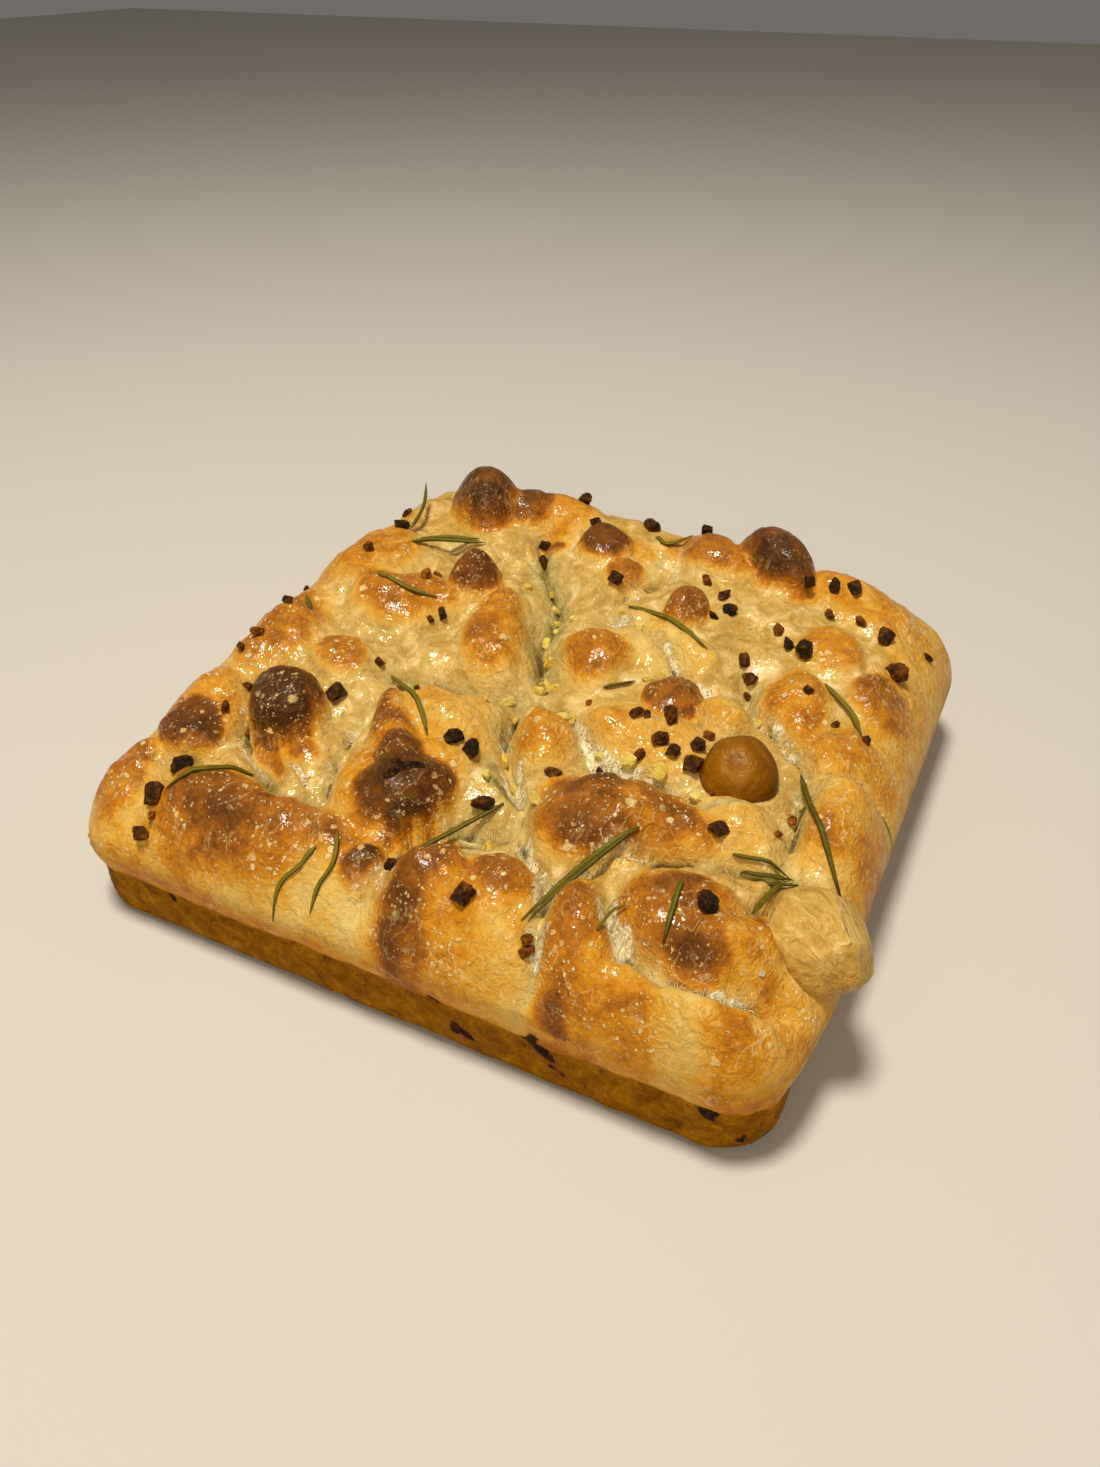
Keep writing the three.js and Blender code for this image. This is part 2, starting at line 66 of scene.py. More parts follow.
# Soft mounds: x, y, half length, half width, turn, rise, browning.
MOUNDS = [
    (-48, -88, 30, 13, 4, 7, .7), (-9, -87, 8, 6, 0, 3.5, .86), (8, -90, 12, 14, 10, 7.5, .8),
    (27, -91, 17, 14, 0, 4.5, .46), (26, -79, 9, 8, 0, 5, .68), (39, -51, 20, 14, 12, 9, .8),
    (56, -45, 14, 11, -20, 6, .6), (71, -74.5, 20, 14.5, 0, 8.5, .7), (75, -98, 30, 12, 4, 8, .52),
    (49, -88, 10, 15, 10, 7, .64), (79, -96, 9.5, 7.5, 0, 12, .30), (-29, -43, 15, 5.5, 125, 8, .78),
    (-19, -59, 19, 15, 40, 6, .42), (12, -29, 10, 11, 20, 8.5, .48), (-17, -34, 17, 11, -10, 6, .28),
    (35, -17, 20, 12, -10, 5, .25), (24, -18, 8, 7, 0, 5, .46), (55, 2, 8, 9, 0, 8, .3),
    (10, 8, 10, 12, 10, 8, .6), (24, 24, 20, 12, -20, 5, .12), (-21, 7, 20, 11, 110, 8, .56),
    (-58, 10, 17, 12, 20, 5, .56), (-60, -23, 10, 9, 0, 4, .6), (-84, -20, 13, 22, 5, 4, .56),
    (-80, 26, 15, 18, -10, 5, .42), (-84, -56, 14, 12, 0, 5, .44), (-11, 65, 9, 10, 0, 6.5, .84),
    (-31, 61, 7, 8, 0, 5, .8), (1, 54, 7, 8, 0, 5, .6), (22, 76, 17, 10, -10, 6, .64),
    (-38, 80, 18, 12, -10, 5, .51), (74, 76, 18, 13, -20, 4, .4), (70, 13, 17, 9, 95, 5, .54),
    (88, -2, 14, 13, 0, 4, .52), (72, -38, 15, 9, -15, 4.5, .26), (91, 31, 9, 12, 0, 4, .6),
    (72, 45, 9, 12, 0, 5, .45), (95, -22, 12, 16, 5, 9, .5), (-93, -84, 9, 12, 20, 5, .7),
]

# Bubbles of the crust itself: x, y, half length, half width, turn, rise, lift, browning,
# softness of the foot, and how pointed the crown is (0.5 is round). Four of them are soft
# mounds in the solid.
BUBBLES = [
    (-61, -50, 13, 11, 133, 12.5, 0, .95, 1.2, .5), (-82, -67, 11, 8.5, -10, 6, -1, .9, 3, .7),
    (-18.5, -56.5, 9, 6.5, 120, 10, 0, .86, 7, .9), (-11.5, -65, 13.5, 10.5, 30, 11, 0, .94, 7, .8),
    (38, 2, 10, 9.5, 109, 7, -1, .8, 3, .7), (26, 42.5, 8.5, 7.6, 108, 9.5, 0, .66, 2, .6),
    (-43, 29, 11, 9.5, 121, 10.5, 0, .82, 3, .85), (44, 80, 17, 10.5, -38, 13.5, 0, .86, 4, .6),
    (-49, 75, 12, 9.5, 20, 9, 0, .82, 6, .8), (-61.5, 71, 14.5, 13, 120, 17, 0, .68, 4, .62),
]
# The two blown skins: their middle, half lengths, turn, rise, and tip towards the front.
AMBER = dict(x=65.5, y=-20, long=11, wide=10.5, turn=104, rise=11, tip=38)
BLISTER = dict(x=98, y=-61, long=14.5, wide=13.5, turn=0, rise=11.5, lift=-5, tip=30)

# Creases pressed in by the fingers: depth, width, share of torn white dough, run.
CREASES = [
    (12, 6.5, .3, [(-34, 66), (-28, 50), (-19, 40), (-14, 28), (-10, 16), (-2, -4)]),
    (8.5, 5.5, .4, [(-3, -12), (-14, -15), (-30, -17), (-42, -20)]),
    (7.5, 4.5, .9, [(-1, -10), (10, -15), (18, -20), (34, -30), (60, -33)]),
    (9, 4.5, .7, [(-2, -10), (-4, -20), (1, -32), (8, -41), (20, -53)]),
    (8.5, 7, .6, [(20, -53), (14, -62), (3, -70), (-5, -80), (-8, -96)]),
    (11, 4.2, .2, [(17, -59), (9, -62.5), (2, -66), (-5, -73)]),
    (7, 4.5, 1., [(20, -56), (25, -65), (34, -72), (38, -82), (42, -100)]),
    (6.5, 4, .6, [(37, -75), (46, -62), (57, -57), (72, -50), (84, -47)]),
    (7.5, 4, 1., [(51, -70), (53, -79), (60, -85), (69, -88.5)]),
    (7, 4, .8, [(66, -88), (76, -90), (86, -88), (97, -80)]),
    (8, 5.5, .6, [(55, 22), (58, 10), (66, 4), (77, -4), (83, -18), (85, -45)]),
    (5, 4.5, .5, [(82, -12), (92, -7), (108, -4)]),
    (6, 5, .5, [(90, -44), (84, -55), (82, -66)]),
    (7.5, 4, .6, [(-76, -46), (-70, -58), (-58, -69), (-45, -76), (-33, -73)]),
    (4, 3, .8, [(-66, -60), (-52, -65), (-36, -72)]),
    (3, 5, .6, [(-92, -80), (-78, -77), (-66, -74)]),
    (4, 5, .3, [(-96, -92), (-88, -88), (-76, -85)]),
    (4, 8, .3, [(-33, -76), (-27, -84), (-22, -98)]),
    (7.5, 7, .5, [(-42, -36), (-43, -48), (-37, -62), (-33, -74)]),
    (6, 4.5, .9, [(0, 40), (8, 32), (20, 29), (28, 22), (38, 10), (58, 10)]),
    (5, 6, .5, [(0, 40), (6, 50), (12, 62), (10, 80)]),
    (5, 7, .4, [(-28, 50), (-38, 42), (-50, 42), (-64, 48)]),
    (4, 7, .3, [(-38, 10), (-44, -6), (-40, -20)]),
    (4, 7, .3, [(-44, -6), (-62, -8), (-80, -4)]),
]

# Paler and darker patches of the skin, with no form of their own: x, y, half length, half width,
# turn, change of browning. Most are browning; the dark ones under and beside the black bubble are
# painted shade, and the paler ones along the front rim are partly painted highlight.
PATCHES = [
    (-62, -96, 12, 8, 0, -.12), (-38, -101, 13, 8, 0, -.14), (5, -101, 9, 5, 0, -.10),
    (27, -97, 10, 9, 0, -.08), (33, -101, 10, 7, 0, -.06), (33, -94, 7, 6, 0, -.06),
    (38, -85, 6, 6, 0, -.14), (57, -65, 9, 6, 0, -.22), (78, -66, 9, 7, 0, -.12),
    (85, -76, 8, 7, 0, -.18), (97, -97, 9, 7, 0, -.14), (66, -101, 7, 5, 0, -.14),
    (-75, -74, 6, 5, 0, -.22), (28, -65, 7, 5, 0, -.12), (94, -16, 12, 14, 0, -.12),
    (-73, -26, 8, 8, 0, -.12), (-67, 21, 10, 8, 0, -.12), (-58, 38, 9, 8, 0, -.10),
    (-14, 6, 7, 8, 0, -.12), (14, 10, 7, 7, 0, -.10), (56, -90, 5, 5, 0, -.12), (40, 0, 6, 5, 0, -.10),
    (71, 16, 7, 7, 0, -.12), (-46, -74, 6, 6, 0, -.10), (-54, -59, 13, 8, -25, .42),
    (-5, -74.5, 11, 4.6, 30, .40), (4, -69.5, 7, 4, 10, .36), (-19, -80, 9, 6, 35, .20),
    (-58, -65.5, 13, 2.6, -30, .45), (76, -85, 8, 5, -20, .26), (-30, 67, 8, 7, 0, .22),
    (1, 69, 7, 6, 0, .22), (44, 72, 9, 7, 0, .24), (56, 68, 9, 6, 0, .16), (-55, 62, 10, 7, 30, .25),
    (47, -103, 8, 7, 0, .26), (69, -98, 12, 4, 0, .14), (79, -99, 7, 5, 0, -.12), (88, -94, 9, 5, 0, .14),
    (98, -82, 9, 7, 20, .16), (90, -78, 7, 4, 0, .22), (0, -96, 10, 7, 0, .16), (90, -35, 7, 8, 0, .18),
    (20, 31, 9, 7, 0, .12), (-15, -86, 8, 6, 0, .14), (-56, -90, 9, 5, 0, .10), (6, -34, 8, 6, 0, .12),
    (86, -56, 6, 5, 0, .10), (86, -77, 7, 6, 0, -.14), (65, -52, 7, 5, 0, -.14), (62, -60, 6, 5, 0, -.10),
    (-10.5, -82, 4, 7, 0, .30), (-61.5, 71, 14, 12.5, 0, .16), (-66, 64, 8, 7, 0, .14),
]

# Painted shade, greenish grey, under the bubbles and in shaded pockets, laid on as the colour of a deep
# crease: x, y, half length, half width, turn, and the depth of crease that it looks like.
PAINTED_SHADE_OVALS = [
    (-9, -79.5, 4, 2.8, 40, 13), (11, -49, 9, 3.0, -10, 11.5), (-2.5, -27, 6, 2.8, -60, 11),
    (66, -33, 12, 3.4, 15, 8.0), (3.5, -41, 4, 6.5, -20, 9.8),
]

# Scorched patches where filling met the pan: x, y, z, size.
SCORCHES = [
    (17, -101, 17, 2.6), (20, -101, 15.5, 1.6), (22.5, -101, 8.6, 2.8), (25.5, -101, 7.2, 2.3),
    (44, -101, 17, 3.2), (46.5, -101, 15, 3.4), (49, -101, 12.6, 2.3), (36, -101, 7.5, 1.2),
    (38, -101, 6.4, 1), (49, -101, 8.5, 1.5), (51.5, -101, 7, 1.6), (53.5, -101, 5, 1.3),
    (48, -101, 6, 1), (51, -101, 3.6, 1), (62, -101, 14, 2), (65, -101, 13, 1.5), (89, -101, 15.5, 3.8),
    (91.5, -101, 12.8, 2.2), (94, -101, 8, 1), (96.5, -97, 5.5, 2.4), (102, -94, 20, 1.8),
    (-12, -101, 16, 1.4), (-41, -101, 14, 1.8), (-68, -101, 15, 2.2), (-90, -100, 12, 1.6),
    (-54, -101, 6, 1.2), (76, -101, 9, 1), (5, -101, 8, 1), (-101, -90, 17, 3.4), (-103, 40, 15, 4),
    (-103, -20, 18, 3), (-103, 66, 9, 2.2), (104, 20, 16, 4), (104, -50, 14, 3), (104, 60, 18, 4),
    (104, -8, 8, 2), (20, 101, 16, 4.4), (-60, 101, 15, 3.6), (-10, 101, 19, 2.6), (70, 101, 14, 3),
    (44, 101, 7, 2),
]

# Arms of the charred star on the black bubble: from x, y to x, y, and half width.
STAR = [(-13.6, -69, -10.8, -65, 1.5), (-10.8, -65, -7.6, -62.4, 1.1), (-11.2, -65.4, -14.4, -64, 1.2)]

# Chopped garlic: x, y, size, and how burnt it is.
GARLIC = [
    (-53, -38, 6, .9), (-9, -44, 5, .95), (-4, -44, 5.2, .95), (7, -56, 5.5, .8), (-2, -86, 3.6, .9),
    (20, -89, 5.4, .85), (38, -91, 4, .6), (-2, -24, 3.6, .3), (20, -41, 4.6, .7), (30, -32, 4.6, .7),
    (33, -15, 4.4, .7), (36, -14, 2.6, .8), (42, -11, 5.6, .7), (43, -21, 4.8, .75), (47, -23, 4.8, .8),
    (39, -26, 3.8, .7), (52, -17, 4.4, .8), (53, -24, 5, .8), (-29, -30, 2.3, .7), (16, -8, 2.3, .4),
    (9, -13, 2.9, .3), (0, 47, 4.8, .8), (26, 62, 4.2, .6), (34, 57, 3.6, .8), (34, 45, 3.6, .9),
    (38, 50, 4.6, .95), (57, 71, 4.8, .75), (65, 75, 4.8, .9), (71, 77, 4.8, .9), (67, 65, 3.4, .6),
    (77, 65, 3.4, .6), (85, 62, 5.4, .85), (91, 46, 5.8, .8), (55, 48, 4.4, .5), (61, 41, 4.2, .95),
    (66, 39, 5.2, .95), (50, 29, 4.4, .8), (54, 26, 4.4, .75), (54, 22, 3, .7), (73, 16, 3, .7),
    (83, 11, 2.9, .7), (91, 9, 2.4, .8), (68, -44, 4.8, .8), (82, -26, 2.8, .5), (81, -37, 2.4, .5),
    (62, -30, 2.1, .5), (53, -9, 3.4, .5), (-75, -80, 6.4, .97), (-75, -90, 5.4, .9), (-75, -97, 4.8, .7),
    (-73, -94, 2.9, .5), (-76, -59, 3.4, .7), (-78, -47, 3.1, .7), (-71, -57, 3, .6), (-85, -30, 3.6, .6),
    (-86, -37, 3.2, .7), (-85, -15, 4, .8), (-49, -20, 3.2, .7), (-44, 9, 4, .8), (-46, 5, 2.6, .6),
    (-55, 18, 3.4, .4), (-55, 25, 2.7, .5), (-80, 43, 5, .9), (-80, 23, 3.6, .7), (-18, 71, 4.2, .9),
    (-32, 56, 4.4, .9), (-36, 67, 4.2, .9), (75, -73, 5.8, .95), (-3, 84, 5, .9), (18, 83, 4.4, .9),
    (-30, 86, 5, .9), (39, -93, 3.4, .6), (-88, 60, 3.6, .8), (60, 92, 3.6, .8), (-93, 5, 3, .7),
    (96, 70, 3.2, .8),
]

# Barely roasted garlic, pale yellow: x, y, size.
PALE_GARLIC = [
    (-13, 22, 3.6), (-9, 14, 3.4), (-5, 9, 4.2), (-7, 30, 3), (-2, 1, 4), (3, -3, 3.6), (-3, -5, 4.6),
    (-7, -16, 4.2), (-18, 38, 3), (-15, 33, 2.6), (-10, -24, 3), (2, -36, 3.6), (10, -44, 3.2),
    (-4, -18, 3), (46, -28, 4.6), (37, -28, 4.2), (58, -31, 3.4), (28, -27, 3), (8, 34, 3), (16, 30, 2.8),
    (28, 7, 4), (31, 12, 3.6), (14, -22, 3), (13, -13, 3.2), (-6, 4, 3), (62, 8, 3), (-24, 48, 3),
    (-27, 36, 3), (-14, 30, 3.2), (21, -52, 4.2), (12, -63, 4.6), (4, -49, 3),
]

# Rosemary needles: run over the crust with a lift where one stands up, width, brownness.
NEEDLES = [
    ([(-45, -20), (-30, -32), (-21, -40), (-16, -46)], 1.6, .15),
    ([(8, 39), (24, 34), (40, 24)], 1.7, .15),
    ([(17, -1), (25, 5)], 1.6, .3),
    ([(76, 25), (85, 18), (90, 9)], 1.5, .1),
    ([(80, -11, 1), (87.6, -28.5, 0), (98, -45, 1)], 1.7, .4),
    ([(50.5, -54), (43, -67.5), (35.6, -89)], 1.7, .25),
    ([(49.6, -55.4), (43.4, -69.5), (36.8, -88)], 1.6, .45),
    ([(12, -54), (3, -67), (-6, -81)], 1.6, .3),
    ([(67, -68), (68, -76), (69, -84)], 1.7, .3),
    ([(73, -47), (79.5, -46.6), (87, -45)], 1.7, .25),
    ([(76, -48.6), (82, -48), (88, -45.4)], 1.2, .5),
    ([(76.6, -50), (82, -49.4), (90, -45.6)], 1.1, .5),
    ([(85.5, -47), (84.4, -57), (84, -68)], 1.5, .2),
    ([(54, -87), (55, -80), (58, -78)], 0.9, .2),
    ([(-57, -72), (-64, -82), (-72, -89)], 1.7, .25),
    ([(-23, -89), (-25, -93), (-29, -97), (-30, -101)], 1.4, .05),
    ([(-20, -84), (-17, -90), (-19, -95), (-19, -99)], 1.4, .05),
    ([(-68, 10), (-57, 9), (-47, 12)], 1.6, .15),
    ([(-71, 41), (-64, 48), (-54, 52)], 2.0, .2),
    ([(-70, 34), (-66, 43), (-57, 49), (-51, 51)], 2.0, .15),
    ([(-78, 46, 0), (-80, 58, 2), (-84, 67, 8)], 1.4, .4),
    ([(1, 79), (7, 75), (13, 84)], 1.5, .1),
    ([(-85, -6), (-78, -13)], 1.5, .3),
]


# ---- Small helpers ----

LATTICE = 96                           # points of the random lattice, each way


def smoothstep(low, high, value):
    """Runs smoothly from 0 at `low` to 1 at `high`."""
    t = np.clip((value - low) / (high - low), 0, 1)
    return t * t * (3 - 2 * t)


def soft_max(a, b, k):
    """The higher of two heights, blended over a step of about `k`."""
    h = np.clip(0.5 + 0.5 * (a - b) / k, 0, 1)
    return b + (a - b) * h + k * h * (1 - h)


def unit(vectors):
    """Vectors scaled to a length of 1."""
    return vectors / np.linalg.norm(vectors, axis=-1, keepdims=True)


def turned(points, angle):
    """Points turned about the upright axis."""
    c, s = math.cos(angle), math.sin(angle)
    return points @ np.array([[c, s, 0], [-s, c, 0], [0, 0, 1]])


def stacked(parts):
    """Joins parts, each with its points and faces, into one list of each."""
    starts = np.cumsum([0] + [len(points) for points, _ in parts[:-1]])
    return (np.vstack([points for points, _ in parts]),
            np.vstack([np.asarray(faces) + start for (_, faces), start in zip(parts, starts)]))


def noise(x, y, cell, seed):
    """Smooth random field from -1 to 1, with lumps about `cell` millimetres across."""
    lattice = np.random.default_rng(seed).random((LATTICE, LATTICE)) * 2 - 1
    u, v = x / cell + LATTICE / 2, y / cell + LATTICE / 2
    i, j = np.floor(u).astype(int), np.floor(v).astype(int)
    a, b = (t * t * t * (t * (t * 6 - 15) + 10) for t in (u - i, v - j))

    def at(p, q):
        return lattice[p % LATTICE, q % LATTICE]

    low = at(i, j) * (1 - a) + at(i + 1, j) * a
    high = at(i, j + 1) * (1 - a) + at(i + 1, j + 1) * a
    return low * (1 - b) + high * b


def layered(x, y, cell, seed, layers=4, fall=0.55):
    """Noise in layers, each half as wide and `fall` times as strong as the one before."""
    total, size = np.zeros(np.shape(x)), 1.0
    for n in range(layers):
        total = total + size * noise(x + 17.3 * n, y - 9.1 * n, cell / 2 ** n, seed + n)
        size *= fall
    return total


def within(x, y, form):
    """Squared distance from the middle of an oval, 1 at its edge."""
    turn = math.radians(form[4])
    dx, dy = x - form[0], y - form[1]
    u = (dx * math.cos(turn) + dy * math.sin(turn)) / form[2]
    v = (dy * math.cos(turn) - dx * math.sin(turn)) / form[3]
    return u * u + v * v


def nine(table, x, y):
    """Smooth surface through the nine values of a table."""
    u, v = np.clip(x / GRID_X, -1.1, 1.1), np.clip(y / GRID_Y, -1.1, 1.1)
    lx = [u * (u - 1) / 2, 1 - u * u, u * (u + 1) / 2]
    ly = [v * (v - 1) / 2, 1 - v * v, v * (v + 1) / 2]
    return sum(ly[j] * lx[i] * table[j][i] for j in range(3) for i in range(3))


def smooth_run(points, steps=6):
    """A smooth curve through a few points, with `steps` steps from each to the next."""
    p = np.array([tuple(q) + (0,) * (3 - len(q)) for q in points], float)
    p = np.vstack([2 * p[0] - p[1], p, 2 * p[-1] - p[-2]])
    out = []
    for k in range(1, len(p) - 2):
        a, b, c, d = p[k - 1:k + 3]
        for t in np.arange(steps) / steps:
            out.append(0.5 * (2 * b + (c - a) * t + (2 * a - 5 * b + 4 * c - d) * t * t
                              + (3 * b - a - 3 * c + d) * t ** 3))
    out.append(p[-2])
    return np.array(out)


def nearest_on_run(x, y, line):
    """Distance to a run, and how far along it the nearest point lies."""
    best = np.full(np.shape(x), 1e9)
    along = np.zeros(np.shape(x))
    done = 0.0
    for a, b in zip(line[:-1, :2], line[1:, :2]):
        d = b - a
        length = math.hypot(*d)
        t = np.clip(((x - a[0]) * d[0] + (y - a[1]) * d[1]) / length ** 2, 0, 1)
        away = np.hypot(x - a[0] - t * d[0], y - a[1] - t * d[1])
        along = np.where(away < best, done + t * length, along)
        best = np.minimum(best, away)
        done += length
    return best, along


def line_length(line):
    return np.linalg.norm(np.diff(line[:, :2], axis=0), axis=1).sum()


CREASE_LINES = [smooth_run(crease[3]) for crease in CREASES]


# ---- The risen surface ----

WARP = dict(broad=1.6, broad_cell=16, fine=0.5, fine_cell=5)  # how far forms stray from their ovals
BLISTERS = dict(count=230, reach=98, seed=11, sizes=[1.3, 1.8, 2.6, 3.8], odds=[0.4, 0.3, 0.2, 0.1])
TEAR_ENDS = 9.0                        # length over which a torn strip fades out


def inset(x, y):
    """Distance inwards from the loaf's rounded square outline."""
    qx, qy = np.abs(x) - HALF_X + CORNER, np.abs(y) - HALF_Y + CORNER
    outside = np.hypot(np.maximum(qx, 0), np.maximum(qy, 0))
    return CORNER - outside - np.minimum(np.maximum(qx, qy), 0)


def spring_out(x, y, z):
    """Above the pan the crust bulges over the wall, a little less at the front right corner."""
    upward = np.clip((z - PAN_LINE) / (RIM - PAN_LINE), 0, 1)
    band_x = np.clip((np.abs(x) - HALF_X + SPRING_BAND) / SPRING_BAND, 0, 1)
    band_y = np.clip((np.abs(y) - HALF_Y + SPRING_BAND) / SPRING_BAND, 0, 1)
    taper = 1 - CORNER_TAPER["share"] * smoothstep(CORNER_TAPER["start"], CORNER_TAPER["end"], y)
    out_x = np.where(x > 0, SPRING["right"] * taper, -SPRING["left"])
    out_y = np.where(y > 0, SPRING["back"], -SPRING["front"])
    return x + out_x * upward * band_x ** 2, y + out_y * upward * band_y ** 2


def warped(x, y):
    """Points pushed about a little, so that no form has an even edge."""
    return tuple(value + WARP["broad"] * layered(x, y, WARP["broad_cell"], seed, 2)
                 + WARP["fine"] * layered(x, y, WARP["fine_cell"], seed + 4, 2)
                 for value, seed in ((x, 40), (y, 50)))


def blisters(x, y):
    """Low round blisters under the skin."""
    draw = np.random.default_rng(BLISTERS["seed"])
    lift = np.zeros(np.shape(x))
    for _ in range(BLISTERS["count"]):
        bx, by = draw.uniform(-BLISTERS["reach"], BLISTERS["reach"], 2)
        size = draw.choice(BLISTERS["sizes"], p=BLISTERS["odds"])
        squash, turn = draw.uniform(0.65, 1.0), draw.uniform(0, 180)
        r2 = within(x, y, (bx, by, size, size * squash, turn))
        lift = np.maximum(lift, 0.24 * size * np.clip(1 - r2, 0, 1) ** 0.8)
    return lift


def add_mounds(skin, wx, wy):
    """Browns the mounds and gives their rise."""
    rise = np.zeros(np.shape(wx))
    for m in MOUNDS:
        share = np.clip(1 - (within(wx, wy, m) / PILLOW_REACH) ** PILLOW_FLAT, 0, 1)
        rise += (m[5] * share ** PILLOW_EDGE) ** 3
        skin.bake += (m[6] - skin.bake) * smoothstep(0.1, 0.75, share)
    return np.cbrt(rise)


def add_creases(skin, wx, wy):
    """Depth of the creases, the torn dough beside them and the slits along their middle."""
    shape = np.shape(wx)
    skin.depth, skin.tear, skin.slit = np.zeros(shape), np.zeros(shape), np.zeros(shape)
    skin.fibre = np.zeros(shape + (2,))
    near = np.full(shape, 1e9)
    for k, ((deep, width, torn, _), line) in enumerate(zip(CREASES, CREASE_LINES)):
        away, along = nearest_on_run(wx, wy, line)
        skin.depth += (deep * np.exp(-(away / (0.8 * width)) ** CREASE_SHARP)) ** 4
        # The torn strip lies on one bank of the crease, the slit wanders in and out of it.
        wander = 0.22 * width * np.sin(along / 7.0 + 2.1 * k)
        ends = smoothstep(0, TEAR_ENDS, along) * smoothstep(0, TEAR_ENDS, line_length(line) - along)
        frayed = torn * ends * (0.75 + 0.35 * noise(along, along * 0 + 3.3 * k, 9.0, 33))
        strip = np.exp(-((away - 0.25 * width + wander) / (0.42 * width)) ** 2)
        skin.tear = np.maximum(skin.tear, frayed * strip)
        gaping = smoothstep(-0.25, 0.35, noise(along, along * 0 + 7.7 * k, 6.0, 31))
        slit = gaping * ends * min(deep / 5, 1.2) * np.exp(-(away / SLIT_WIDTH) ** 2)
        skin.slit = np.maximum(skin.slit, slit)
        closer = away < near
        skin.fibre[closer] = np.stack([along, away], -1)[closer]
        near = np.minimum(near, away)
    skin.depth = skin.depth ** 0.25
    skin.bake = skin.bake - 0.05 * skin.depth


def add_bubbles(skin, x, y, wx, wy, folds):
    """Sets the crust's own bubbles on the risen top."""
    for b in BUBBLES:
        r2 = within((x + wx) / 2, (y + wy) / 2, b)
        middle = nine(TOP_HEIGHTS, b[0], b[1]) + b[6]
        cap = middle + b[5] * np.clip(1 - r2, 0, 1) ** b[9]
        cap = cap + 0.5 * layered(x, y, 6, 70, 3) + 0.35 * folds
        skin.z = np.where(r2 < 1, soft_max(skin.z, cap, b[8]), skin.z)
        browned = b[7] - 0.22 * np.clip(r2, 0, 1) ** 2
        skin.bake += (browned - skin.bake) * smoothstep(1.15, 0.75, r2)
        for part, end in (("hollow", 1.2), ("depth", 1.2), ("tear", 1.3), ("slit", 1.3)):
            setattr(skin, part, getattr(skin, part) * smoothstep(0.8, end, r2))


def add_patches(skin, wx, wy):
    """Painted shade under the bubbles, then the paler and darker patches: mostly browning, with some painted
    shade and painted highlight.
    """
    # Painted shade: these ovals darken the dough as if it lay deep in a crease.
    for thin in PAINTED_SHADE_OVALS:
        skin.depth = np.maximum(skin.depth, thin[5] * smoothstep(1.2, 0.1, within(wx, wy, thin)))
    for patch in PATCHES:
        covered = smoothstep(1.0, 0.2, within(wx, wy, patch))
        skin.bake += patch[5] * covered
        # Browned ground isn't wet, deep or torn.
        plain = 1 - covered * min(1, max(0, 4 * patch[5]))
        skin.hollow, skin.depth, skin.tear = skin.hollow * plain, skin.depth * plain, skin.tear * plain


def survey(x, y):
    """Height of the crust at each point, and what its skin is like there."""
    wx, wy = warped(x, y)
    skin = SimpleNamespace(bake=nine(TOP_BAKE, x, y))
    rise = add_mounds(skin, wx, wy)
    skin.hollow = np.clip(1 - rise / 4, 0, 1) * smoothstep(8, 24, inset(x, y))
    add_creases(skin, wx, wy)

    waves = (np.sin(x / RIPPLE["x"] + y / 13) * np.sin(y / RIPPLE["y"] - x / 19)
             + 0.4 * np.sin(x / 4.6 + 1.3) * np.sin(y / 5.2 + x / 31))
    # Leathery skin: folds with sharp crests.
    folds = 1 - np.abs(layered(wx, wy * 0.7, 6.5, 63, 3, 0.5))
    ragged = 0.7 * np.abs(noise(x, y, 1.7, 66)) - 0.5 * smoothstep(0.1, 0.5, noise(x, y, 2.1, 67))
    full = nine(TOP_HEIGHTS, x, y) + rise - skin.depth - SLIT_DEPTH * skin.slit
    full = full + RIPPLE["rise"] * waves + 0.9 * layered(x, y, 9, 60, 4, 0.5)
    full = full + 0.35 * folds + blisters(x, y) + ragged * skin.tear
    share = np.clip(1 - inset(x, y) / SHOULDER, 0, 1)
    skin.z = RIM + (full - RIM) * np.sqrt(1 - share ** 2)

    add_bubbles(skin, x, y, wx, wy, folds)
    add_patches(skin, wx, wy)
    return skin


# Tables of the crust's height and torn strips, for the toppings that lie on it.
TABLE_REACH, TABLE_STEP = 106, 0.5
_axis = np.arange(-TABLE_REACH, TABLE_REACH + TABLE_STEP, TABLE_STEP)
TABLE = survey(*np.meshgrid(_axis, _axis))


def crust_height(x, y):
    """Height of the crust, read between the points of the table."""
    u, v = (np.clip((np.asarray(t, float) + TABLE_REACH) / TABLE_STEP, 0, len(_axis) - 1.001)
            for t in (x, y))
    i, j = np.floor(u).astype(int), np.floor(v).astype(int)
    a, b = u - i, v - j
    low = TABLE.z[j, i] * (1 - a) + TABLE.z[j, i + 1] * a
    high = TABLE.z[j + 1, i] * (1 - a) + TABLE.z[j + 1, i + 1] * a
    return low * (1 - b) + high * b


def crust_tear(x, y):
    """How torn the crust is at the nearest point of the table."""
    i, j = (int(round((t + TABLE_REACH) / TABLE_STEP)) for t in (x, y))
    return TABLE.tear[j, i]


def on_crust(x, y):
    """The point of the sprung crust above a place."""
    z = crust_height(x, y)
    return np.stack([*spring_out(np.asarray(x, float), np.asarray(y, float), z), z], -1)


# ---- Meshes ----

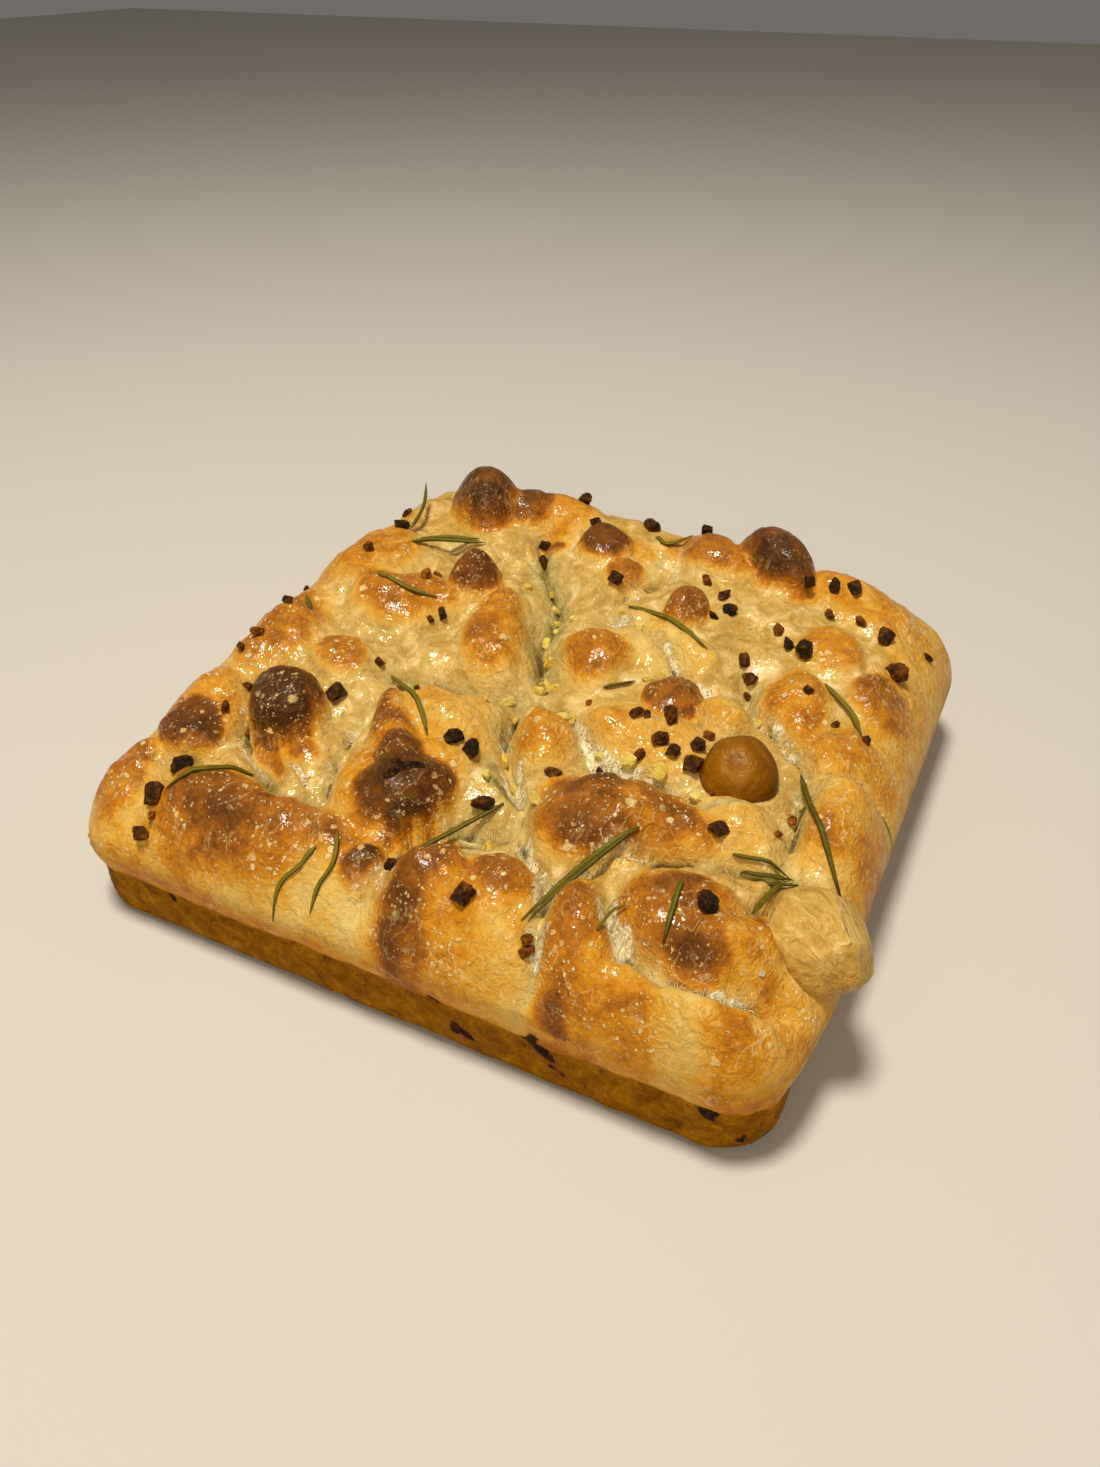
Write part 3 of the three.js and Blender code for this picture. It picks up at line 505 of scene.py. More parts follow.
def add_mesh(name, points, faces, material, slot, smooth=True, layers=None):
    """Makes a piece from millimetre points and faces; layers are named colours per point."""
    mesh = bpy.data.meshes.new(name)
    points = np.asarray(points, np.float32) * MM
    faces = np.asarray(faces, np.int32)
    sides = faces.shape[1]
    mesh.vertices.add(len(points))
    mesh.vertices.foreach_set("co", points.ravel())
    mesh.loops.add(faces.size)
    mesh.loops.foreach_set("vertex_index", faces.ravel())
    mesh.polygons.add(len(faces))
    mesh.polygons.foreach_set("loop_start", np.arange(0, faces.size, sides, dtype=np.int32))
    mesh.polygons.foreach_set("use_smooth", np.full(len(faces), smooth))
    mesh.update(calc_edges=True)
    mesh.validate()
    for key, values in (layers or {}).items():
        layer = mesh.color_attributes.new(key, "FLOAT_COLOR", "POINT")
        values = np.asarray(values, np.float32)
        rgba = np.ones((len(points), 4), np.float32)
        rgba[:, :values.shape[1]] = values
        layer.data.foreach_set("color", rgba.ravel())
    piece = bpy.data.objects.new(name, mesh)
    bpy.context.scene.collection.objects.link(piece)
    mesh.materials.append(material)
    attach(piece, "root")
    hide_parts("focaccia")


# ---- The crust ----

CELLS = 262                            # cells of the crust's top, each way
FLAT_SHARE = 0.74                      # share of those cells inside the shoulder
# Heights of the rings down the wall, closer together around the pan line.
WALL_ROWS = [22.5, 21, 19.8, 18.8, 18, 17.3, 16.4, 15, 13.4, 11.8, 10.2, 8.6, 7, 5.4, 3.6, 1.8, 0.8, 0]
BASE_RINGS = [0.975, 0.93, 0.8, 0.5]   # rings of the underside, as shares of the foot
BASE_LOOK, BASE_ZONE = (0.6, 0, 0), (1, 0.2, 1)    # what those two layers hold on the underside
LEDGE, WAIST, FOOT_ROUND = 0.9, 0.4, 2.3     # the wall steps out over the pan line and in at its foot
FOOT_HEIGHT = 3.2                      # height over which the foot rounds in
STAR_FLOOR = 40                        # the charred star lies above this height


def onto_outline(a, b):
    """A point of the square -1..1 moved onto nested rounded squares."""
    ring = np.maximum(np.abs(a), np.abs(b))
    px, py = a * HALF_X, b * HALF_Y
    qx = np.clip(px, -(HALF_X - CORNER) * ring, (HALF_X - CORNER) * ring)
    qy = np.clip(py, -(HALF_Y - CORNER) * ring, (HALF_Y - CORNER) * ring)
    dx, dy = px - qx, py - qy
    longest = np.hypot(dx, dy)
    scale = np.where(longest > 0, np.maximum(np.abs(dx), np.abs(dy)) / np.maximum(longest, 1e-9), 1)
    return qx + dx * scale, qy + dy * scale


def spread(index):
    """Place of a grid line from -1 to 1: even on the top, closer together on the shoulder."""
    t = 2 * index / CELLS - 1
    s = np.abs(t)
    band = SHOULDER / HALF_X
    over = np.clip((s - FLAT_SHARE) / (1 - FLAT_SHARE), 0, 1)
    rounded = 1 - band + band * np.sin(over * math.pi / 2)
    return np.sign(t) * np.where(s < FLAT_SHARE, s / FLAT_SHARE * (1 - band), rounded)


def rings_below(rx, ry, rim_bake):
    """Rings down the wall and in over the underside: points, look and zone of each."""
    count = len(rx)
    even = np.ones(count)
    turn = np.arange(count) / (count - 1) * 2 * math.pi
    around_x, around_y = 60 * np.cos(turn), 60 * np.sin(turn)    # closes the noise round the loaf
    line = PAN_LINE + 1.3 * layered(around_x, around_y, 9, 80, 3)
    for level in WALL_ROWS:
        foot = np.clip(1 - level / FOOT_HEIGHT, 0, 1)
        ledge = smoothstep(-1.2, 0.6, level - line)
        out = LEDGE * ledge - WAIST - 0.25 * smoothstep(9, 3, level) - FOOT_ROUND * foot ** 2.2
        crumb = 0.3 * layered(around_x, around_y + level, 3.2, 90, 2)
        out = out + crumb * smoothstep(0.0, 1.5, level)
        wx, wy = spring_out(rx * (1 + out / HALF_X), ry * (1 + out / HALF_Y), level * even)
        patch = layered(around_x, around_y + level, 14, 95, 3)
        wall = smoothstep(2.5, -0.8, level - line)
        yield (np.stack([wx, wy, level * even], -1),
               np.stack([rim_bake * 0.4 + 0.3 + 0.12 * patch, 0 * even, 0 * even], -1),
               np.stack([wall, foot * even, even], -1))
    for share in BASE_RINGS:
        yield (np.stack([wx * share, wy * share, 0 * even], -1),
               np.outer(even, BASE_LOOK), np.outer(even, BASE_ZONE))


def charred(points):
    """How charred each point is: scorched filling at the pan line, and the star."""
    x, y, z = points.T
    char = np.zeros(len(points))
    ragged = 1 + 0.5 * noise(x + z, y + z, 2.0, 96)
    for *middle, size in SCORCHES:
        away = np.linalg.norm(points - middle, axis=1)
        char = np.maximum(char, smoothstep(1.15, 0.35, away / (size * ragged)))
    ragged = 1 + 0.35 * noise(x, y, 1.6, 97)
    for *ends, wide in STAR:
        away, _ = nearest_on_run(x, y, np.array(ends, float).reshape(2, 2))
        arm = smoothstep(1.3, 0.7, away / (wide * ragged))
        char = np.maximum(char, (z > STAR_FLOOR) * arm)
    return char


def padded(rows, count):
    """Rows filled up with zeros to `count` rows."""
    return np.vstack([rows, np.zeros((count - len(rows), rows.shape[1]))])


def make_crust(material):
    """The grid of the top, the rings of the wall and the underside, as one closed skin."""
    row = CELLS + 1
    j, i = np.meshgrid(np.arange(row), np.arange(row), indexing="ij")
    x, y = onto_outline(spread(i), spread(j))
    skin = survey(x, y)
    edge = 1 - smoothstep(0, 9, inset(x, y))
    # The shoulder ends in the darker golden wall.
    skin.bake = skin.bake + 0.06 * edge * (1 - skin.bake)
    rim_share = 1 - smoothstep(2, 16, inset(x, y))
    # Flecks thin out towards the back.
    specks = smoothstep(72, 30, y) * 0.8 + 0.2
    none = np.zeros_like(x)

    def columns(*parts):
        return np.stack(parts, -1).reshape(-1, 3)

    top = columns(*spring_out(x, y, skin.z), skin.z)
    look = columns(skin.bake, skin.tear, none)
    zone = columns(0.35 * edge * smoothstep(30, 25, skin.z), none, rim_share)
    cleft = columns(skin.slit, skin.hollow, specks)
    hair = columns(skin.fibre[..., 0], skin.fibre[..., 1], skin.depth) * 0.01

    index = j * row + i
    faces = [np.stack([index[:-1, :-1], index[:-1, 1:], index[1:, 1:], index[1:, :-1]], -1).reshape(-1, 4)]
    rim = np.concatenate([index[0, :-1], index[:-1, -1], index[-1, :0:-1], index[:0:-1, 0]])
    above, count = rim, len(top)
    shell = [(top, look, zone)]
    for ring in rings_below(x.ravel()[rim], y.ravel()[rim], skin.bake.ravel()[rim]):
        shell.append(ring)
        below = count + np.arange(len(rim))
        faces.append(np.stack([above, below, np.roll(below, -1), np.roll(above, -1)], -1))
        above, count = below, count + len(rim)
    shell.append((np.zeros((1, 3)), np.array([BASE_LOOK]), np.array([BASE_ZONE])))
    # Pairs of edges share one face at the middle, so every face keeps four corners.
    faces.append(np.stack([above[::2], np.full(len(rim) // 2, count),
                           np.roll(above, -2)[::2], np.roll(above, -1)[::2]], -1))
    points, looks, zones = (np.vstack(part) for part in zip(*shell))
    looks[:, 2] = charred(points)
    add_mesh("crust", points, np.vstack(faces), material, "crust",
             layers={"look": looks, "zone": zones, "hair": padded(hair, len(points)),
                     "cleft": padded(cleft, len(points))})


# ---- Materials ----

class Value:
    """A number that varies over a material; sums and products of values make the nodes."""

    def __init__(self, nodes, socket):
        self.nodes, self.socket = nodes, socket

    def __add__(self, other):
        return self.nodes.math("ADD", self, other)

    def __sub__(self, other):
        return self.nodes.math("SUBTRACT", self, other)

    def __rsub__(self, other):
        return self.nodes.math("SUBTRACT", other, self)

    def __mul__(self, other):
        return self.nodes.math("MULTIPLY", self, other)

    __radd__, __rmul__ = __add__, __mul__

    def clamped(self):
        self.socket.node.use_clamp = True
        return self


class Nodes:
    """Short calls for building a node material."""

    def __init__(self, name):
        self.material = bpy.data.materials.new(name)
        self.material.use_nodes = True
        self.tree = self.material.node_tree
        self.shader = self.tree.nodes["Principled BSDF"]
        self.place = self.add("ShaderNodeTexCoord").outputs["Object"]

    def add(self, kind, inputs=None, **settings):
        node = self.tree.nodes.new(kind)
        for key, value in settings.items():
            setattr(node, key, value)
        for key, value in (inputs or {}).items():
            self.put(node.inputs[key], value)
        return node

    def put(self, socket, value):
        """Links a socket or a value, or sets a constant; a colour may leave out its alpha."""
        value = getattr(value, "socket", value)
        if isinstance(value, bpy.types.NodeSocket):
            self.tree.links.new(value, socket)
        else:
            socket.default_value = (*value, 1) if socket.type == "RGBA" else value

    def finish(self, **inputs):
        """Sets the shader's inputs and hands over the material."""
        for key, value in inputs.items():
            self.put(self.shader.inputs[key.replace("_", " ")], value)
        return self.material

    def math(self, operation, *terms):
        node = self.add("ShaderNodeMath", dict(enumerate(terms)), operation=operation)
        return Value(self, node.outputs[0])

    def vector(self, operation, a, b):
        """Adds, multiplies or (by a number) scales a vector."""
        inputs = {0: a, "Scale" if operation == "SCALE" else 1: b}
        return self.add("ShaderNodeVectorMath", inputs, operation=operation).outputs[0]

    def span(self, value, low, high, to_low=0.0, to_high=1.0):
        """Runs smoothly from `to_low` to `to_high` as the value runs from low to high."""
        terms = dict(enumerate((value, low, high, to_low, to_high)))
        node = self.add("ShaderNodeMapRange", terms, interpolation_type="SMOOTHSTEP")
        return Value(self, node.outputs[0])

    def mix(self, share, a, b):
        return self.add("ShaderNodeMix", {0: share, 6: a, 7: b}, data_type="RGBA").outputs[2]

    def ramp(self, value, stops):
        node = self.add("ShaderNodeValToRGB", {0: value})
        elements = node.color_ramp.elements
        while len(elements) < len(stops):
            elements.new(0.5)
        for element, (place, colour) in zip(elements, stops):
            element.position = place
            element.color = (*colour, 1)
        return node.outputs[0]

    def noise_node(self, scale, detail, rough, distortion, place):
        return self.add("ShaderNodeTexNoise", {
            "Vector": self.place if place is None else place, "Scale": scale, "Detail": detail,
            "Roughness": rough, "Distortion": distortion})

    def noise(self, scale, detail=3.0, rough=0.55, distortion=0.0, place=None):
        return Value(self, self.noise_node(scale, detail, rough, distortion, place).outputs[0])

    def swirl(self, scale, detail):
        """A random vector that drifts over the surface."""
        return self.noise_node(scale, detail, 0.5, 0.0, None).outputs["Color"]

    def pushed(self, swirl, amount):
        """The place, pushed about by a swirl."""
        return self.vector("ADD", self.place, self.vector("SCALE", swirl, amount))

    def ridges(self, place, scale, detail, rough, distortion=0.0):
        """Sharp crests, about 0 to 1."""
        level = self.noise(scale, detail, rough, distortion, place)
        return (1.0 - self.math("ABSOLUTE", level - 0.5) * 4.0).clamped()

    def cells(self, place, scale):
        return self.add("ShaderNodeTexVoronoi", {"Vector": place, "Scale": scale})

    def parts(self, colour):
        node = self.add("ShaderNodeSeparateColor", {0: colour})
        return [Value(self, output) for output in node.outputs[:3]]

    def layer(self, name):
        return self.parts(self.add("ShaderNodeAttribute", attribute_name=name).outputs["Color"])

    def bump(self, height, distance, strength):
        inputs = {"Height": height, "Distance": distance, "Strength": strength}
        return self.add("ShaderNodeBump", inputs).outputs[0]


CRUST_TONES = [
    (0.00, (0.74, 0.520, 0.150)), (0.16, (0.72, 0.440, 0.085)), (0.32, (0.69, 0.335, 0.028)),
    (0.46, (0.58, 0.220, 0.008)), (0.60, (0.39, 0.130, 0.009)), (0.76, (0.200, 0.064, 0.008)),
    (1.00, (0.074, 0.026, 0.006)),
]
OCHRE_TONES = [(0.34, (0.32, 0.198, 0.032)), (0.46, (0.47, 0.30, 0.070)),
               (0.56, (0.63, 0.445, 0.150)), (0.68, (0.85, 0.71, 0.41))]
WALL_TONES = [(0.30, (0.142, 0.044, 0.0)), (0.45, (0.290, 0.108, 0.0)),
              (0.57, (0.42, 0.172, 0.001)), (0.72, (0.64, 0.32, 0.010))]
GOLDEN = (0.66, 0.37, 0.045)
RAW_GREY, RAW_CREAM, CREASE_SHADE = (0.38, 0.310, 0.095), (0.69, 0.56, 0.235), (0.120, 0.082, 0.010)
CREST_PALE_AND_HIGHLIGHT, BROWN_FLECK = (0.90, 0.68, 0.30), (0.74, 0.49, 0.19)
PALE_FLECK = (0.88, 0.68, 0.30)
WEB_SHADE, WEB_CREAM, WEB_PORE_SHADE = (0.76, 0.60, 0.27), (1.0, 0.92, 0.64), (0.27, 0.185, 0.050)
SLIT_SHADE = (0.085, 0.055, 0.012)
WALL_PORE, WALL_FOOT_SHADE = (0.05, 0.016, 0.001), (0.07, 0.022, 0.001)
SCORCH_HALO, CHAR, CHAR_GLINT = (0.16, 0.050, 0.004), (0.011, 0.004, 0.002), (0.072, 0.022, 0.004)
# Flecks in four sizes: cells per metre, largest radius in cells, share of cells that have one.
FLECKS = [(190.0, 0.34, 0.10), (330.0, 0.40, 0.26), (600.0, 0.45, 0.48), (1050.0, 0.46, 0.55)]


def crust_fields(m):
    """What the layers of the mesh say, and the noises that several parts of the crust share."""
    f = SimpleNamespace()
    f.bake, f.tear, f.char = m.layer("look")
    f.wall, f.foot, f.rim = m.layer("zone")
    f.slit, f.hollow, f.speck = m.layer("cleft")
    f.hair = m.add("ShaderNodeAttribute", attribute_name="hair").outputs["Vector"]
    f.depth = Value(m, m.add("ShaderNodeSeparateXYZ", {0: f.hair}).outputs[2])
    f.broad = m.noise(60, 4, 0.6, 0.5)
    f.middle = m.noise(210, 5, 0.65, 0.3)
    f.fine = m.noise(900, 3, 0.6)
    f.tatter = m.noise(260, 5, 0.7) - 0.5
    f.swirl = m.swirl(640.0, 3.0)
    f.warped = m.pushed(f.swirl, 0.0018)
    f.on_top = (1.0 - f.wall).clamped()
    return f


def browned_dough(m, f):
    """The crust's own colour, from pale hollows to dark crowns."""
    # Browning wanders at three scales, so no patch has an even edge.
    wander = (f.broad - 0.5) * 0.60 + (f.middle - 0.5) * 0.55 + (f.fine - 0.5) * 0.28
    colour = m.ramp((f.bake + wander - f.rim * 0.07).clamped(), CRUST_TONES)
    # The low ground between mounds is oily, soft and ochre.
    ochre = m.ramp(m.noise(130, 5, 0.68, 0.6), OCHRE_TONES)
    ochre = m.mix(m.span(f.hollow, 0.35, 0.90, 0.60, 0.0), ochre, GOLDEN)
    colour = m.mix(m.span(f.hollow, 0.1, 0.9) * 0.75, colour, ochre)
    # Dough in the deep creases stays pale, greyish and a little green.
    pale = m.span(f.depth, 0.020, 0.080, 0.0, 0.8) * m.span(f.broad, 0.3, 0.6, 0.55, 1.0)
    colour = m.mix(pale, colour, m.mix(m.span(f.middle, 0.4, 0.6), RAW_GREY, RAW_CREAM))
    # Painted shade: the deepest creases, and the painted shade ovals, turn dark olive.
    return m.mix(m.span(f.depth, 0.078, 0.125, 0.0, 0.90), colour, CREASE_SHADE)


def wrinkled(m, f, colour):
    """Wrinkles: fine pale crests running over the mounds, partly the skin's own colour and partly painted
    highlight.
    """
    bent = m.pushed(m.swirl(60.0, 2.0), 0.012)
    f.crest = m.ridges(m.vector("MULTIPLY", bent, (1.0, 0.45, 0.7)), 190, 3, 0.5)
    line = m.span(f.crest, 0.90, 1.0) * m.span(m.noise(95), 0.46, 0.62)
    line = line * m.span(f.bake, 0.45, 0.85, 0.50, 0.22)
    return m.mix(line * f.on_top, colour, CREST_PALE_AND_HIGHLIGHT)


def flecked(m, f, colour):
    """Micro-blisters: pale flecks thrown up on the browned skin."""
    flecks = None
    for scale, size, share in FLECKS:
        cell = m.cells(f.warped, scale)
        chance = m.parts(cell.outputs["Color"])[0]
        distance = Value(m, cell.outputs["Distance"])
        spot = m.span(m.span(chance, 1 - share, 1.0) * size - distance, 0.0, 0.12)
        flecks = spot if flecks is None else m.math("MAXIMUM", flecks, spot)
    crowd = m.span(m.noise(80, 3, 0.6), 0.36, 0.56)
    browned = m.span(f.bake, 0.10, 0.5, 0.35, 1.0)
    f.flecks = flecks * crowd * browned * f.on_top * f.speck
    tone = m.mix(m.span(f.bake, 0.4, 0.9), PALE_FLECK, BROWN_FLECK)
    return m.mix(f.flecks * 0.85, colour, tone)


def torn(m, f, colour):
    """Torn, floury dough in the creases: a ragged cream strip whose pores and gaps between strands get
    painted shade, and a slit of painted shade.
    """
    edge = m.span(f.tear + f.tatter * 1.3, 0.48, 0.60)
    f.torn = (edge * m.span(f.tear, 0.12, 0.3)).clamped()
    combed = m.vector("ADD", m.vector("MULTIPLY", f.hair, (52.0, 14.0, 1.0)), f.swirl)
    f.strands = m.noise(3.0, 4, 0.6, place=combed)
    f.pores = (m.span(m.cells(f.warped, 760.0).outputs["Distance"], 0.16, 0.30, 1.0, 0.0)
               * m.span(m.noise(300), 0.40, 0.54))
    web = m.mix(m.span(f.strands, 0.34, 0.56), WEB_SHADE, WEB_CREAM)
    # Painted shade: the pores, and the gaps between the strands, are dark.
    colour = m.mix(f.torn, colour, m.mix(f.pores * 0.75, web, WEB_PORE_SHADE))
    # Painted shade fills the slit along the crease.
    return m.mix(m.span(f.slit + f.tatter * 0.8, 0.52, 0.85) * 0.85, colour, SLIT_SHADE)


def fried_wall(m, f, colour):
    """The wall that fried against the pan: even amber, mottled, with small dark pores, and painted shade
    towards its foot.
    """
    fried = m.ramp(m.noise(170, 6, 0.75, 0.4), WALL_TONES)
    f.pits = (m.span(m.cells(f.warped, 420.0).outputs["Distance"], 0.10, 0.24, 1.0, 0.0)
              * m.span(m.noise(120, 2), 0.45, 0.6))
    fried = m.mix(f.pits * 0.5, fried, WALL_PORE)
    # Painted shade: darker towards the rounded foot.
    fried = m.mix(f.foot * 0.7, fried, WALL_FOOT_SHADE)
    edge = m.span(f.wall + f.tatter * 1.1, 0.22, 0.85)
    return m.mix(edge * m.span(f.wall, 0.02, 0.2), colour, fried)


def scorched(m, f, colour):
    """Charred spots with a dark brown halo."""
    ragged = m.span(f.char + f.tatter * 1.2, 0.38, 0.70)
    f.burnt = (ragged * m.span(f.char, 0.05, 0.2)).clamped()
    colour = m.mix(m.span(f.char, 0.0, 0.6) * 0.5, colour, SCORCH_HALO)
    return m.mix(f.burnt, colour, m.mix(m.span(f.fine, 0.46, 0.60), CHAR, CHAR_GLINT))


def crust_relief(m, f):
    """Wrinkled skin, grain and raised flecks; the wet low ground is smooth and gently uneven."""
    height = m.noise(330, 5, 0.58, 0.8) * (1.1 - f.wet * 0.75)
    height = height + m.noise(1500, 3, 0.6) * 0.11 + m.noise(140, 3, 0.5) * f.wet * 1.6
    height = height + f.crest * 0.15 + f.flecks * 0.30
    height = height + f.strands * f.torn * 0.5 - f.pores * f.torn * 0.6
    height = height - f.pits * f.wall * 0.3 + m.noise(620, 4, 0.7) * f.wall * 1.3
    return m.bump(height + f.burnt * 0.4, 0.0014, 0.9)


def oil_film(m, f):
    """Weight of the oil: on the top only, thinner on torn, deep and well browned dough."""
    dry = m.math("MAXIMUM", f.rim, f.burnt)
    oil = (1.0 - dry).clamped() * m.span(m.noise(150, 4, 0.6), 0.42, 0.58, 0.05, 0.85)
    oil = oil * (1.0 - f.torn * 0.7)
    return oil * m.span(f.bake, 0.55, 0.95, 1.0, 0.25) * m.span(f.depth, 0.05, 0.10, 1.0, 0.2)


def crust_material():
    m = Nodes("baked crust")
    f = crust_fields(m)
    f.wet = m.span(f.hollow, 0.15, 0.85)
    colour = browned_dough(m, f)
    for layer in (wrinkled, flecked, torn, fried_wall, scorched):
        colour = layer(m, f, colour)
    sheen = m.span(m.noise(110, 4), 0.38, 0.62, 0.24, 0.46) - f.wet * 0.06
    sheen = (sheen + f.torn * 0.3).clamped()
    ripples = m.noise(420, 2) + m.noise(1100) * 0.12 + f.flecks * 0.2
    return m.finish(
        Base_Color=colour, Normal=crust_relief(m, f),
        Roughness=(sheen + m.math("MAXIMUM", f.burnt, f.wall) * 0.55).clamped(),
        Specular_IOR_Level=0.16, Specular_Tint=(1.0, 0.80, 0.40),
        Coat_Weight=oil_film(m, f), Coat_Normal=m.bump(ripples, 0.0006, 0.9),
        Coat_Roughness=0.12, Coat_Tint=(1.0, 0.95, 0.82), Coat_IOR=1.5,
        Subsurface_Weight=0.05, Subsurface_Radius=(1.0, 0.5, 0.2), Subsurface_Scale=0.0015)


def skin_material(name, tones, rings, gloss, relief, pull=(1.0, 1.0, 1.0), crease_pale_and_glint=0.0):
    """Thin glassy skin of a blown bubble; the `ring` layer holds the distance from its middle."""
    m = Nodes(name)
    out, fold, _ = m.layer("ring")
    cloud = m.noise(160, 5, 0.65, 0.6)
    band = m.math("SINE", out * rings + cloud * 9.0)
    grain_turn = (0.0, 0.0, math.radians(132))
    across = m.add("ShaderNodeMapping", {"Vector": m.place, "Rotation": grain_turn}).outputs[0]
    creased = m.ridges(m.vector("MULTIPLY", across, pull), 200, 3, 0.55, 0.7)
    # The crumpled crease lines are lighter, partly the skin's own colour and partly painted highlight.
    level = band * 0.05 + cloud * 0.75 + fold * 0.5 + m.span(creased, 0.55, 1.0, -0.3, 1.0) * crease_pale_and_glint
    # Painted light: lighter at the crown, where light shows through the thin skin, and darker towards the
    # foot.
    level = (level + m.span(out, 0.35, 0.95, 0.10, -0.18)).clamped()
    height = m.noise(1200) * 0.2 + creased * 0.6
    return m.finish(
        Base_Color=m.ramp(level, tones), Roughness=gloss, Normal=m.bump(height, relief, 0.8),
        Specular_IOR_Level=0.24, Specular_Tint=(1.0, 0.88, 0.62),
        Subsurface_Weight=0.25, Subsurface_Radius=(1.0, 0.6, 0.2), Subsurface_Scale=0.003)


def bit_material(name, tones, gloss, relief):
    """Chopped garlic: the `tint` layer holds how burnt each bit is, and its edges."""
    m = Nodes(name)
    burnt, edge, _ = m.layer("tint")
    mottle = m.noise(650, 5, 0.7)
    level = (burnt + (mottle - 0.5) * 1.3).clamped() - m.span(edge, 0.75, 1.0, 0.0, 0.22)
    height = m.noise(1500, 4, 0.65) + m.noise(500) * 1.2
    return m.finish(
        Base_Color=m.ramp(level.clamped(), tones), Normal=m.bump(height, relief, 0.9),
        Roughness=m.span(mottle, 0.35, 0.65, gloss - 0.1, gloss + 0.2),
        Specular_IOR_Level=0.2, Specular_Tint=(1.0, 0.80, 0.55))


LEAF_TONES = [(0.0, (0.210, 0.170, 0.010)), (0.35, (0.125, 0.098, 0.005)),
              (0.65, (0.075, 0.046, 0.003)), (1.0, (0.025, 0.011, 0.002))]
# Painted shade for the rolled-under edges and the underside, and for the groove.
LEAF_EDGE_SHADE, LEAF_GROOVE_SHADE = (0.030, 0.022, 0.003), (0.026, 0.020, 0.003)


def leaf_material():
    """Baked rosemary, with painted shade along its rolled-under edges, on its underside and in the groove of
    its middle.
    """
    m = Nodes("rosemary leaf")
    brown, across, _ = m.layer("tint")
    level = (brown + (m.noise(420, 5, 0.65) - 0.5) * 0.9).clamped()
    colour = m.mix(m.span(across, 0.62, 0.95, 0.0, 0.75), m.ramp(level, LEAF_TONES), LEAF_EDGE_SHADE)
    colour = m.mix((1.0 - m.span(across, 0.0, 0.22)) * 0.75, colour, LEAF_GROOVE_SHADE)
    return m.finish(Base_Color=colour, Roughness=0.5, Normal=m.bump(m.noise(1400), 0.0003, 0.7),
                    Specular_IOR_Level=0.26, Specular_Tint=(1.0, 0.88, 0.55))


def salt_material():
    """Flaky salt, straw-coloured and a little glossy."""
    m = Nodes("flaky salt")
    colour = m.ramp(m.noise(900), [(0.3, (0.50, 0.37, 0.18)), (0.7, (0.72, 0.60, 0.38))])
    return m.finish(Base_Color=colour, Roughness=0.3, Normal=m.bump(m.noise(2500, 2), 0.0002, 0.6),
                    Specular_IOR_Level=0.4, Specular_Tint=(1.0, 0.92, 0.75))


def web_material():
    """Stretched strands of torn dough."""
    m = Nodes("torn dough")
    colour = m.ramp(m.noise(260), [(0.35, (0.78, 0.60, 0.27)), (0.65, (0.92, 0.80, 0.48))])
    return m.finish(Base_Color=colour, Roughness=0.55, Specular_IOR_Level=0.25)


# ---- Blown skins ----

def even_directions(count, loose, draw):
    """Unit vectors spread evenly over a sphere by the golden angle, then shaken."""
    k = np.arange(count)
    up = 1 - (2 * k + 1) / count
    around = k * math.pi * (3 - math.sqrt(5))
    flat = np.sqrt(1 - up * up)
    out = np.stack([flat * np.cos(around), flat * np.sin(around), up], -1)
    return unit(out + draw.normal(0, loose, out.shape))


_bag = np.random.default_rng(5)
BAG_FACES = even_directions(30, 0.20, _bag)
BAG_HEIGHTS = _bag.uniform(0.86, 1.0, len(BAG_FACES))
BAG_EDGE = 0.018                       # how softly the faces of the slack bag meet
FOLD_RISE = 0.018                      # height of its creases, as a share of its radius
SKIN_FOOT = math.radians(160)          # a skin runs on under itself, down into the dough


def skin_cap(form, shape, rows, columns):
    """A blown skin from its crown down to its foot, tipped towards the front by `tip` degrees."""
    turn, tip = math.radians(form["turn"]), math.radians(form["tip"])
    middle = nine(TOP_HEIGHTS, form["x"], form["y"]) + form.get("lift", 0)
    around = np.arange(columns) * 2 * math.pi / columns
    local, rings = [], []
    for r in range(1, rows + 1):
        polar = SKIN_FOOT * r / rows
        radial, up, fold = shape(polar, around)
        local.append(np.stack([radial * np.cos(around), radial * np.sin(around), up], -1))
        rings.append(np.stack([np.full(columns, min(polar / (math.pi / 2), 1.0)), fold, 0 * fold], -1))
    # One point closes the crown and one the foot.
    local, rings = (np.vstack(part + [part[0].mean(0), part[-1].mean(0)]) for part in (local, rings))
    side, front, up = local.T
    front, up = front * math.cos(tip) - up * math.sin(tip), up * math.cos(tip) + front * math.sin(tip)
    c, s = math.cos(turn), math.sin(turn)
    along, across = (side * c + front * s) * form["long"], (front * c - side * s) * form["wide"]
    points = np.stack([form["x"] + along * c - across * s, form["y"] + along * s + across * c,
                       middle + form["rise"] * up], -1)
    step = np.arange(columns)
    after = np.roll(step, -1)
    faces = []
    for start in range(0, (rows - 1) * columns, columns):
        a, b = start + step, start + after
        faces += [np.stack([a, a + columns, b + columns], -1), np.stack([a, b + columns, b], -1)]
    last = (rows - 1) * columns
    crown, foot = np.full(columns, rows * columns), np.full(columns, rows * columns + 1)
    faces += [np.stack([crown, step, after], -1), np.stack([last + after, last + step, foot], -1)]
    return points, np.vstack(faces), rings


def amber_shape(polar, around):
    """Nearly round, a little flat on top, with a dimple and a bead in its middle."""
    corners = 1 + 0.015 * np.cos(3 * around + 1) + 0.015 * np.cos(5 * around) + 0.012 * np.cos(7 * around + 2)
    radial = abs(math.sin(polar)) ** 0.92 * corners
    dimple = 0.07 * math.exp(-(polar / 0.36) ** 2) - 0.05 * math.exp(-(polar / 0.08) ** 2)
    return radial, np.full(len(around), math.cos(polar) - dimple), np.zeros(len(around))


